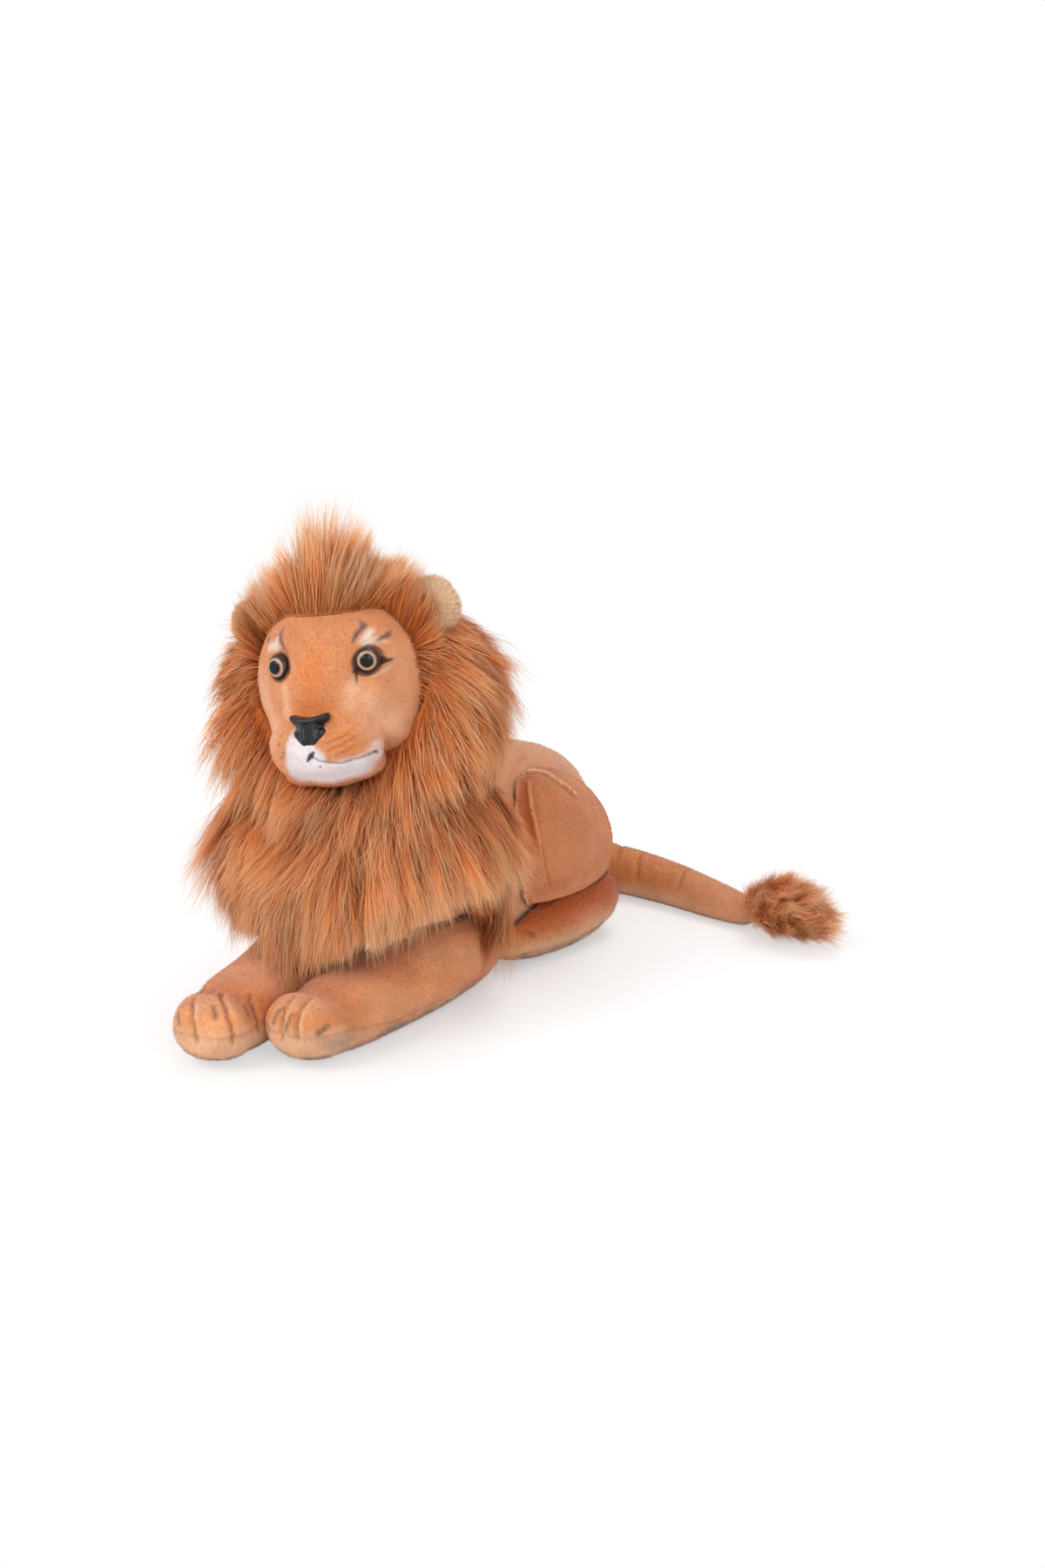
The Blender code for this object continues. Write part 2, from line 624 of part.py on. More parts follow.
ruff_shares = ((0.0, 0.9, 0.9, 0.0), (0.5, 1.0, 1.0, 0.0), (1.0, 0.86, 0.86, 0.0))
ruff_foot = RUFF_RISE - RUFF_HEIGHT / 2
ruff_spine = [(0, -RUFF_FORWARD, ruff_foot + RUFF_HEIGHT * s) for s in SPINE_SHARES]
for side, sign in (("left", 1), ("right", -1)):
    flare = stuffed_mesh("mane_ruff_" + side, ruff_spine, RUFF_WIDTH, RUFF_DEPTH, ruff_shares, 24, 12,
                         over=(0, -1, 0))
    ruff = add_part(flare, "mane_pile", HEAD_PIVOT)
    cut(ruff, below("skirt", -RUFF_SKIRT), NECK_PIVOT)
    cut(ruff, ball_mesh("ball", BALL_RADIUS, 24, 14), HEAD_PIVOT, None, "UNION")
    cut(ruff, face_side("face_side"), HEAD_PIVOT, FACE_PLANE)
    cut(ruff, above("flat_crown", 0), HEAD_PIVOT, CROWN_PLANE)
    cut(ruff, other_half("other_half", sign), HEAD_PIVOT)
    cut_all(ruff, HEAD_SPACE + EAR_SPACE)
    cut(ruff, crest_form("crest_space", GAP), HEAD_PIVOT)
    cut(ruff, hollow_mesh("neck_hollow", NECK_BALL_RADIUS, 20, 12), HEAD_PIVOT)
    cut(ruff, neck_clearance("nod_room"), NECK_PIVOT)


# Haunches, flat where they sit on the hind feet
for side, sign in (("left", 1), ("right", -1)):
    thigh = add_part(thigh_form("thigh_" + side, sign), "short_plush")
    cut(thigh, torso_form("torso_space", GAP))
    cut(thigh, below("foot_room", FOOT_TOP + GAP))


# Mane on the chest and shoulders, in three panels
bell_shares = ((0.0, 0.92, 0.94, 0.0), (0.3, 0.98, 1.0, 0.0), (0.7, 1.0, 1.0, 0.0), (1.0, 0.98, 0.97, 0.0))
bell_low = CHEST_UNDERSIDE - OVERRUN
bell_high = BELL_TOP + OVERRUN
bell_spine = [(0, -BELL_FORWARD, bell_low + (bell_high - bell_low) * s) for s in SPINE_SHARES]
panels = {"mane_chest": (), "mane_side_left": (), "mane_side_right": ()}
for name in panels:
    bell = stuffed_mesh(name, bell_spine, BELL_WIDTH, BELL_DEPTH, bell_shares, 28, 12, over=(0, -1, 0),
                        end_fullness=0.25)
    panel = add_part(bell, "mane_pile")
    cut(panel, below("arm_room", CHEST_UNDERSIDE + GAP))
    cut(panel, above("bell_top", BELL_TOP))
    notch = (Matrix.Translation((0, -BELL_FORWARD - BELL_DEPTH / 2, CHIN_NOTCH_HEIGHT))
             @ Matrix.Rotation(CHIN_NOTCH_TILT, 4, "X"))
    cut(panel, above("chin_notch", 0), None, notch)
    cut(panel, hollow_mesh("neck_cup", BALL_RADIUS, 28, 18), NECK_PIVOT)
    cut(panel, torso_form("torso_space", GAP))
    for side, sign in (("left", 1), ("right", -1)):
        cut(panel, thigh_form("thigh_space", sign, GAP))
    front = block_mesh("front_zone", (-CHEST_PANEL_HALF, -REACH, -REACH),
                       (CHEST_PANEL_HALF, -BELL_FORWARD, REACH))
    if name == "mane_chest":
        cut(panel, front, None, None, "INTERSECT")
    else:
        sign = 1 if name.endswith("left") else -1
        grown = block_mesh("front_zone", (-CHEST_PANEL_HALF - GAP, -REACH, -REACH),
                           (CHEST_PANEL_HALF + GAP, -BELL_FORWARD + GAP, REACH))
        cut(panel, grown)
        cut(panel, other_half("other_half", sign))


# Forelegs and hind feet, each split into the limb and its sole panel
def limb_pair(limb, sole, mesh_of, parent, top, beside=()):
    """The limb above the sole seam and the sole panel below it, clear of what is beside them."""
    upper = add_part(mesh_of(limb), "short_plush", parent)
    lower = add_part(mesh_of(sole), "sole_plush", parent)
    for part in (upper, lower):
        cut_all(part, beside)
    cut(upper, above("over_space", top))
    cut(upper, below("sole_side", SOLE_HEIGHT + GAP))
    cut(lower, above("limb_side", SOLE_HEIGHT))
    cut(lower, below("floor", 0))


arm_shares = ((0.0, 1.10, 0.90, -0.05), (0.12, 1.02, 0.84, -0.08), (0.28, 0.94, 0.82, -0.09),
              (0.45, 0.84, 0.84, -0.08), (0.7, 0.92, 0.98, 0.0), (1.0, 1.0, 1.06, 0.02))


def arm_form(name):
    """A foreleg from the paw back to the elbow, in its shoulder's frame."""
    back = ARM_WIDTH / 2
    spine = [(0, back - ARM_LENGTH * (1 - s), 0) for s in SPINE_SHARES]
    return set_down(stuffed_mesh(name, spine, ARM_WIDTH, ARM_HEIGHT, arm_shares, 20, 16, end_fullness=0.55))


foot_shares = ((0.0, 0.90, 0.66, -0.16), (0.2, 1.0, 0.74, -0.12), (0.6, 1.0, 0.90, -0.05),
               (1.0, 0.96, 1.0, 0.0))


def foot_form(name, sign):
    """A hind foot from the toes back to the heel, in its heel's frame, toes turned in."""
    back = FOOT_WIDTH / 2
    reach = FOOT_LENGTH - back
    toe = Vector((-sign * sin(FOOT_TOE_IN) * reach, -cos(FOOT_TOE_IN) * reach, 0))
    heel = Vector((sign * sin(FOOT_TOE_IN) * back, cos(FOOT_TOE_IN) * back, 0))
    spine = [toe.lerp(heel, s) for s in SPINE_SHARES]
    return set_down(stuffed_mesh(name, spine, FOOT_WIDTH, FOOT_HEIGHT, foot_shares, 18, 14, end_fullness=0.7))


for side, sign in (("left", 1), ("right", -1)):
    limb_pair("foreleg_" + side, "foreleg_sole_" + side, arm_form, SHOULDERS[side], CHEST_UNDERSIDE - GAP)
    beside = [torso_met(HEELS[side], sign * FOOT_SWING * share) for share in FOOT_SWING_SHARES]
    limb_pair("hind_foot_" + side, "hind_sole_" + side, lambda name: foot_form(name, sign), HEELS[side],
              FOOT_TOP, beside)

# Tail, swinging on a round root, with its long-pile tuft
tail_shares = ((0.0, 1.0, 1.0, 0.0), (0.3, 0.78, 0.78, 0.0), (0.65, 0.64, 0.64, 0.0), (1.0, 0.54, 0.54, 0.0))
tail_line_shares = ((0, 0), (0.20, 0.95), (0.48, 0.95), (0.76, 0.40), (1.0, -0.10))


def tail_point(across_share, back_share):
    """A place on the tail's centre line, which sinks as the tail gets thinner."""
    low = TAIL_WIDTH / 2 * share_at(tail_shares, across_share, 2)
    return (across_share * TAIL_REACH, back_share * TAIL_SAG_BACK, low - FLOOR_CUT)


tail_spine = [tail_point(*p) for p in tail_line_shares]
tail = add_part(stuffed_mesh("tail", tail_spine, TAIL_WIDTH, TAIL_WIDTH, tail_shares, 16, 20,
                             end_fullness=0.35), "short_plush", TAIL_PIVOT)
swings = round((TAIL_SWING_BACK + TAIL_SWING_FORWARD) / TAIL_SWING_STEP)
cut_all(tail, [torso_met(TAIL_PIVOT, TAIL_SWING_STEP * i - TAIL_SWING_FORWARD) for i in range(swings + 1)])
cut(tail, ball_mesh("tail_root", TAIL_BALL_RADIUS, 20, 12), TAIL_PIVOT, tail_socket, "UNION")
cut(tail, below("floor", 0), TAIL_PIVOT)

tuft_shares = ((0.0, 0.72, 0.72, -0.08), (0.35, 1.0, 1.0, 0.0), (0.7, 0.96, 0.90, -0.03),
               (1.0, 0.7, 0.66, -0.12))
tuft_start = Vector(tail_spine[-1])
tuft_way = (tuft_start - Vector(tail_spine[-2])).normalized()
tuft_start -= tuft_way * TUFT_SOCKET
tuft_start.z = TUFT_THICKNESS / 2 - FLOOR_CUT
tuft_way.z = 0
tuft_spine = [tuft_start + tuft_way * TUFT_LENGTH * s for s in SPINE_SHARES]
tuft = add_part(stuffed_mesh("tail_tuft", tuft_spine, TUFT_THICKNESS, TUFT_THICKNESS, tuft_shares, 18, 12),
                "mane_pile", TAIL_PIVOT)
cut(tuft, stuffed_mesh("tail_space", tail_spine, TAIL_WIDTH, TAIL_WIDTH, tail_shares, 16, 20, GAP,
                       end_fullness=0.35), TAIL_PIVOT)
cut(tuft, below("floor", 0), TAIL_PIVOT)
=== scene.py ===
import json
from functools import partial
from math import cos, pi, radians, sin

import bmesh
import bpy
import numpy as np
from mathutils import Matrix, Vector
from mathutils.bvhtree import BVHTree


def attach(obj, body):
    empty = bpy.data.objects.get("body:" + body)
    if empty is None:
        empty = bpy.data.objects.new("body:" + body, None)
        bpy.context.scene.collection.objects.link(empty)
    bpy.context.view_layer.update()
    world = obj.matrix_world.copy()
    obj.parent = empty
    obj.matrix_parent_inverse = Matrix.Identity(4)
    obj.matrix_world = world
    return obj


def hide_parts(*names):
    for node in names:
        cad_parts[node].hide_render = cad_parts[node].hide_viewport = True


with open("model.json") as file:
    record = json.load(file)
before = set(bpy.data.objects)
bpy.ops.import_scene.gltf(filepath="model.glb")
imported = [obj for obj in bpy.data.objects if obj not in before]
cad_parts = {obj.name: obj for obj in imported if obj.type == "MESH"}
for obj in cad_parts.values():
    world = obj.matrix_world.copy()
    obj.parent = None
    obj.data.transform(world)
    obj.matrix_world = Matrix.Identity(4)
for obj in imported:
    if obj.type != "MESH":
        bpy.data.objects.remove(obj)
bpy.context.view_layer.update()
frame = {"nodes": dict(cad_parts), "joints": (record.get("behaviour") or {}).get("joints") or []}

# ------------------------------
# Camera, lamps and floor
# The lion is seen from its left front, a little from above, on a white floor under four soft lamps and an
# even sky.
VIEW_AZIMUTH, VIEW_ELEVATION, VIEW_DISTANCE = radians(32), radians(17), 1.9
VIEW_CENTRE, LIT_POINT = Vector((0.0433, -0.0178, 0.1251)), Vector((0, -0.05, 0.12))
PIXEL, IMAGE_WIDTH, SENSOR_WIDTH = 0.0006, 1200, 36.0
SKY_STRENGTH, FLOOR_REACH = 0.55, 6
WHITE_LIGHT, SHADOW_COLOUR = (1, 1, 1, 1), "FAFAFA"
MATH, VECTOR, NOISE = "ShaderNodeMath", "ShaderNodeVectorMath", "ShaderNodeTexNoise"
# Takes a value, the two ends that it comes from and the two that it goes to.
RANGE = "ShaderNodeMapRange"


def linear(code):
    """An sRGB hex colour as linear light."""
    channels = [int(code[i:i + 2], 16) / 255 for i in (0, 2, 4)]
    return (*[c / 12.92 if c <= 0.04045 else ((c + 0.055) / 1.055) ** 2.4 for c in channels], 1.0)


def new_object(name, data):
    """An object in the scene that shows the data."""
    made = bpy.data.objects.new(name, data)
    bpy.context.scene.collection.objects.link(made)
    return made


def join(source, socket):
    """A link from an output, or from a node's first output, into a socket."""
    source = source.outputs[0] if isinstance(source, bpy.types.Node) else source
    socket.id_data.links.new(source, socket)


def add_node(tree, kind, inputs=(), operation=None, **settings):
    """A node with its settings, its values and its links."""
    made = tree.nodes.new(kind)
    if operation:
        made.operation = operation
    for name, value in settings.items():
        setattr(made, name, value)
    for name, value in inputs.items() if isinstance(inputs, dict) else enumerate(inputs):
        if isinstance(value, (bpy.types.Node, bpy.types.NodeSocket)):
            join(value, made.inputs[name])
        else:
            made.inputs[name].default_value = value
    return made


def new_material(name, **values):
    """A material, a call that adds to its nodes, its shader, and the place on the object."""
    made = bpy.data.materials.new(name)
    made.use_nodes = True
    shader = made.node_tree.nodes["Principled BSDF"]
    for label, value in values.items():
        shader.inputs[label.replace("_", " ")].default_value = value
    add = partial(add_node, made.node_tree)
    return made, add, shader, add("ShaderNodeTexCoord").outputs["Object"]


def ramp_node(add, share, stops):
    """A colour for a share, blended between stops; the first is at 0 and the last at 1."""
    made = add("ShaderNodeValToRGB", (share,))
    elements = made.color_ramp.elements
    elements[0].color, elements[1].color = linear(stops[0][1]), linear(stops[-1][1])
    for position, code in stops[1:-1]:
        elements.new(position).color = linear(code)
    return made


def seen_straight(add):
    """1 for rays that come from the camera, straight or by way of something glossy or clear."""
    rays = add("ShaderNodeLightPath").outputs
    seen = rays["Is Camera Ray"]
    for way in ("Is Glossy Ray", "Is Transmission Ray"):
        seen = add(MATH, (seen, rays[way]), "MAXIMUM").outputs[0]
    return seen


view_right = Vector((cos(VIEW_AZIMUTH), sin(VIEW_AZIMUTH), 0))
view_back = Vector((sin(VIEW_AZIMUTH) * cos(VIEW_ELEVATION), -cos(VIEW_AZIMUTH) * cos(VIEW_ELEVATION),
                    sin(VIEW_ELEVATION)))
camera = new_object("camera", bpy.data.cameras.new("camera"))
stance = Matrix((view_right, view_back.cross(view_right), view_back)).transposed().to_4x4()
stance.translation = VIEW_CENTRE + VIEW_DISTANCE * view_back
camera.matrix_world = stance
camera.data.sensor_fit = "HORIZONTAL"
camera.data.sensor_width = SENSOR_WIDTH
camera.data.lens = VIEW_DISTANCE / (PIXEL * IMAGE_WIDTH) * SENSOR_WIDTH
bpy.context.scene.camera = camera
bpy.context.scene.view_settings.view_transform = "Standard"

for name, spot, size, power in (("key_lamp", (-0.55, -1.7, 1.5), 1.1, 25),
                                ("fill_lamp", (1.7, -1.2, 1.3), 1.4, 11),
                                ("window_lamp", (1.16, -1.49, 1.25), 0.2, 2.0),
                                ("top_lamp", (0.1, 0.6, 1.9), 1.2, 14)):
    lamp = new_object(name, bpy.data.lights.new(name, "AREA"))
    lamp.data.size, lamp.data.energy, lamp.location = size, power, spot
    lamp.rotation_euler = (LIT_POINT - Vector(spot)).to_track_quat("-Z", "Y").to_euler()

world = bpy.data.worlds.new("studio")
bpy.context.scene.world = world
world.use_nodes = True
world.node_tree.nodes.clear()
add = partial(add_node, world.node_tree)
lights = [add("ShaderNodeBackground", {"Color": WHITE_LIGHT, "Strength": strength})
          for strength in (SKY_STRENGTH, 1.0)]
add("ShaderNodeOutputWorld", {"Surface": add("ShaderNodeMixShader", (seen_straight(add), *lights))})

corners = [(-FLOOR_REACH, -FLOOR_REACH, 0), (FLOOR_REACH, -FLOOR_REACH, 0), (FLOOR_REACH, FLOOR_REACH, 0),
           (-FLOOR_REACH, FLOOR_REACH, 0)]
floor_mesh = bpy.data.meshes.new("floor")
floor_mesh.from_pydata(corners, [], [(0, 1, 2, 3)])
floor = new_object("floor", floor_mesh)
paper, add, shader, place = new_material("white_paper", Base_Color=linear(SHADOW_COLOUR), Roughness=0.9)
# The paper holds the lion's shadow close by and turns to plain white further out.
far = add(VECTOR, (place,), "LENGTH").outputs["Value"]
far = add(RANGE, (far, 0.12, 0.60, 0.42, 1.0))
share = add(MATH, (seen_straight(add), far), "MULTIPLY")
white = add("ShaderNodeEmission", {"Color": WHITE_LIGHT, "Strength": 1.0})
pick = add("ShaderNodeMixShader", (share, shader, white))
join(pick, shader.id_data.nodes["Material Output"].inputs["Surface"])
floor_mesh.materials.append(paper)

# ------------------------------
# Plush cloth
# Knitted polyester with a cut pile of 2 to 4 mm, dyed and airbrushed: matt, with a soft edge light.
# Its colour sits in the attribute "tint", and the pile itself is real strands rooted on the skin.
FLOOR_CLEAR = 0.0006


def plush_material(name, roughness, sheen, mottle_depth, pile_scale):
    """Cut pile cloth: the sewn colour, broken up by the way the pile lies."""
    made, add, shader, place = new_material(name, Roughness=roughness, Sheen_Weight=sheen,
                                            Sheen_Roughness=0.5, Specular_IOR_Level=0.2)
    tint = add("ShaderNodeAttribute", attribute_name="tint")
    patches = add(NOISE, {"Vector": place, "Scale": 45.0, "Detail": 3.0})
    pile = add(NOISE, {"Vector": place, "Scale": pile_scale, "Detail": 2.0})
    both = add(MATH, (patches, pile))
    level = add(RANGE, (both, 0.6, 1.4, 1 - mottle_depth, 1 + mottle_depth))
    shade = add(VECTOR, {0: tint.outputs["Color"], "Scale": level}, "SCALE")
    join(shade, shader.inputs["Base Color"])
    # The pile stands in tufts about 1.2 mm apart, drawn as a bump.
    bump = add("ShaderNodeBump", {"Height": pile, "Strength": 0.6, "Distance": 0.0012})
    join(bump, shader.inputs["Normal"])
    return made


short_plush = plush_material("cut_pile_plush", 0.9, 0.35, 0.16, 700.0)


def joined_copy(name, nodes, grow):
    """One mesh of several CAD nodes, welded and swollen so that neighbours meet."""
    shell = bmesh.new()
    for node in nodes:
        piece = bmesh.new()
        piece.from_mesh(frame["nodes"][node].data)
        bmesh.ops.remove_doubles(piece, verts=piece.verts, dist=1e-6)
        piece.normal_update()
        for vert in piece.verts:
            vert.co += vert.normal * grow
        loose = bpy.data.meshes.new("loose")
        piece.to_mesh(loose)
        piece.free()
        shell.from_mesh(loose)
        bpy.data.meshes.remove(loose)
    mesh = bpy.data.meshes.new(name)
    shell.to_mesh(mesh)
    shell.free()
    return mesh


def apply_modifiers(piece):
    """Work the modifiers of a piece into a plain mesh."""
    mesh = bpy.data.meshes.new_from_object(piece.evaluated_get(bpy.context.evaluated_depsgraph_get()))
    mesh.name = piece.name
    piece.modifiers.clear()
    piece.data = mesh


def sewn_skin(name, nodes, voxel, rounds, swell=0.0004, draw_in=0.0):
    """One smooth skin over stuffed solids: swollen until they weld, eased, and drawn in again."""
    piece = new_object(name, joined_copy(name, nodes, swell))
    remesh = piece.modifiers.new("weld", "REMESH")
    remesh.mode, remesh.voxel_size = "VOXEL", voxel
    ease = piece.modifiers.new("ease", "SMOOTH")
    ease.factor, ease.iterations = 0.5, rounds
    apply_modifiers(piece)
    places, normals = points_of(piece.data)
    places -= normals * draw_in
    places[:, 2] = np.maximum(places[:, 2], FLOOR_CLEAR)
    put_points(piece.data, places)
    piece.data.shade_smooth()
    return piece


def points_of(mesh):
    """Vertex places and normals as arrays."""
    found = np.empty((2, len(mesh.vertices) * 3), np.float32)
    mesh.vertices.foreach_get("co", found[0])
    mesh.vertex_normals.foreach_get("vector", found[1])
    return found[0].reshape(-1, 3).astype(float), found[1].reshape(-1, 3).astype(float)


def put_points(mesh, places):
    """Move the vertices to new places."""
    mesh.vertices.foreach_set("co", places.astype(np.float32).ravel())
    mesh.update()


def put_attribute(mesh, name, values):
    """A per-vertex number, vector or colour on a mesh."""
    kind, field = {1: ("FLOAT", "value"), 3: ("FLOAT_VECTOR", "vector"), 4: ("FLOAT_COLOR", "color")}[
        1 if values.ndim == 1 else values.shape[1]]
    attribute = mesh.attributes.get(name) or mesh.attributes.new(name, kind, "POINT")
    attribute.data.foreach_set(field, values.astype(np.float32).ravel())


def smooth_step(low, high, values):
    """0 below low, 1 above high, smooth between."""
    t = np.clip((values - low) / (high - low), 0, 1)
    return t * t * (3 - 2 * t)


def hump(value, middle, spread):
    """1 at the middle, fading to either side."""
    return np.exp(-((value - middle) / spread) ** 2)


def stroke(places, line, weights=(1, 1, 1)):
    """How far each place in mm lies outside a stroke: a bent line whose points carry a radius."""
    line = [(np.array(p[:3], float) * weights, p[3]) for p in line]
    places = places * weights
    best = np.linalg.norm(places - line[0][0], axis=1) - line[0][1]
    for (a, wide), (b, narrow) in zip(line[:-1], line[1:]):
        way = b - a
        t = np.clip(((places - a) @ way) / max(way @ way, 1e-9), 0, 1)
        best = np.minimum(best, np.linalg.norm(places - (a + t[:, None] * way), axis=1)
                          - (wide + t * (narrow - wide)))
    return best


def surface(mesh):
    """A mesh that can be asked for its nearest point or for where a ray meets it."""
    return BVHTree.FromPolygons([v.co for v in mesh.vertices], [p.vertices for p in mesh.polygons])


def along_skin(mesh, lines, steps=5):
    """The same lines laid on the skin, with points added between."""
    skin, laid = surface(mesh), []
    for line in lines:
        dense = [tuple(np.array(a) + (np.array(b) - a) * i / steps)
                 for a, b in zip(line[:-1], line[1:]) for i in range(steps)] + [line[-1]]
        laid.append([(*(skin.find_nearest(Vector(p[:3]) / 1000)[0] * 1000), p[3]) for p in dense])
    return laid


def moved(lines, across=0, back=0, up=0, mirror=1):
    """The same lines a few mm aside, or mirrored."""
    return [[(mirror * x + across, y + back, z + up, r) for x, y, z, r in line] for line in lines]


def dab(tint, share, code):
    """Blend a colour into the tint by a share for each vertex."""
    tint += (np.array(linear(code)) - tint) * np.clip(share, 0, 1)[:, None]


def paint(tint, places, marks, weights=(1, 1, 1)):
    """Strokes of colour on the tint, airbrushed marks as well as painted shade and highlights; each mark is a
    colour, a strength, a softness in mm and its lines.
    """
    for code, strength, soft, *lines in marks:
        for line in lines:
            dab(tint, strength * (1 - smooth_step(-soft, soft, stroke(places, line, weights))), code)


def press(mesh, places_mm, folds, weights=(1, 1, 1)):
    """Push folds and seams into a skin; each is a depth and a softness in mm and its lines."""
    places, normals = points_of(mesh)
    depth = np.zeros(len(places))
    for deep, soft, *lines in folds:
        for line in lines:
            depth += deep / 1000 * (1 - smooth_step(-soft, soft, stroke(places_mm, line, weights)))
    put_points(mesh, places - normals * depth[:, None])


def plain_tint(mesh, code):
    """An even tint to start from."""
    return np.tile(np.array(linear(code)), (len(mesh.vertices), 1))


def dye(mesh, tint, cloth):
    """Write the tint and make the mesh of one cloth."""
    put_attribute(mesh, "tint", tint)
    mesh.materials.clear()
    mesh.materials.append(cloth)


def declare(piece, body, nodes):
    """Say which body a piece rides on, and hide the solids that it stands for."""
    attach(piece, body)
    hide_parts(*nodes)


# ------------------------------
# Pile
# Every strand is a narrow tapering blade rooted on a skin, laid along the skin's "flow" and gathered with its
# neighbours into locks. One tree of nodes grows the mane, the tuft and the short pile alike.
PILE_INPUTS = {"Per Square Metre": "Float", "Locks Per Square Metre": "Float", "Seed": "Int",
               "Length": "Float", "Width": "Float", "Segments": "Int", "Lift": "Float", "Gather": "Float",
               "Wave": "Float", "Vary": "Float", "Finish": "Material"}
MIDDLE_GREY, ROOT_SCATTER, LOCK_SCATTER = (0.5, 0.5, 0.5), 0.25, 0.6
STORE, READ = "GeometryNodeStoreNamedAttribute", "GeometryNodeInputNamedAttribute"
SCATTER = "GeometryNodeDistributePointsOnFaces"
ARROW, NUMBER = {"data_type": "FLOAT_VECTOR"}, {"data_type": "FLOAT"}
STRAND_ARROWS = ("root_at", "root_stand", "flow", "lock_at", "lock_stand", "lock_flow")


def scattered(add, place, rate):
    """A random arrow for each place."""
    made = add(VECTOR, {0: place, "Scale": rate}, "SCALE")
    made = add("ShaderNodeTexWhiteNoise", {"Vector": made})
    return add(VECTOR, (made.outputs["Color"], MIDDLE_GREY), "SUBTRACT")


def strand_place(add, root, stand, flow, reach, given, along, scatter):
    """Where a point of a strand lies: out of the skin and over into the flow, with a lean and a slow wave."""
    lean = add(VECTOR, {0: scattered(add, root, 5171.0), "Scale": scatter}, "SCALE")
    lean = add(VECTOR, (lean, flow))
    flow = add(VECTOR, (lean,), "NORMALIZE")
    start = add("ShaderNodeMix", {"Factor": given["Lift"], 4: flow, 5: stand}, data_type="VECTOR")
    start = add(VECTOR, (start.outputs[1],), "NORMALIZE")
    bend = add(VECTOR, (flow, start), "SUBTRACT")
    half = add(MATH, (add(MATH, (along, along), "MULTIPLY"), 0.5), "MULTIPLY")
    first = add(VECTOR, {0: start, "Scale": along}, "SCALE")
    second = add(VECTOR, {0: bend, "Scale": half}, "SCALE")
    drift = add("ShaderNodeCombineXYZ", {"Z": along})
    drift = add(VECTOR, {0: drift, "Scale": 0.012}, "SCALE")
    noise = add(NOISE, {"Vector": add(VECTOR, (root, drift)), "Scale": 90.0, "Detail": 1.0})
    sway = add(VECTOR, (noise.outputs["Color"], MIDDLE_GREY), "SUBTRACT")
    swing = add(MATH, (given["Wave"], along), "MULTIPLY")
    sway = add(VECTOR, {0: sway, "Scale": swing}, "SCALE")
    shape = add(VECTOR, (add(VECTOR, (first, second)), sway))
    shape = add(VECTOR, {0: shape, "Scale": reach}, "SCALE")
    return add(VECTOR, (root, shape)).outputs[0]


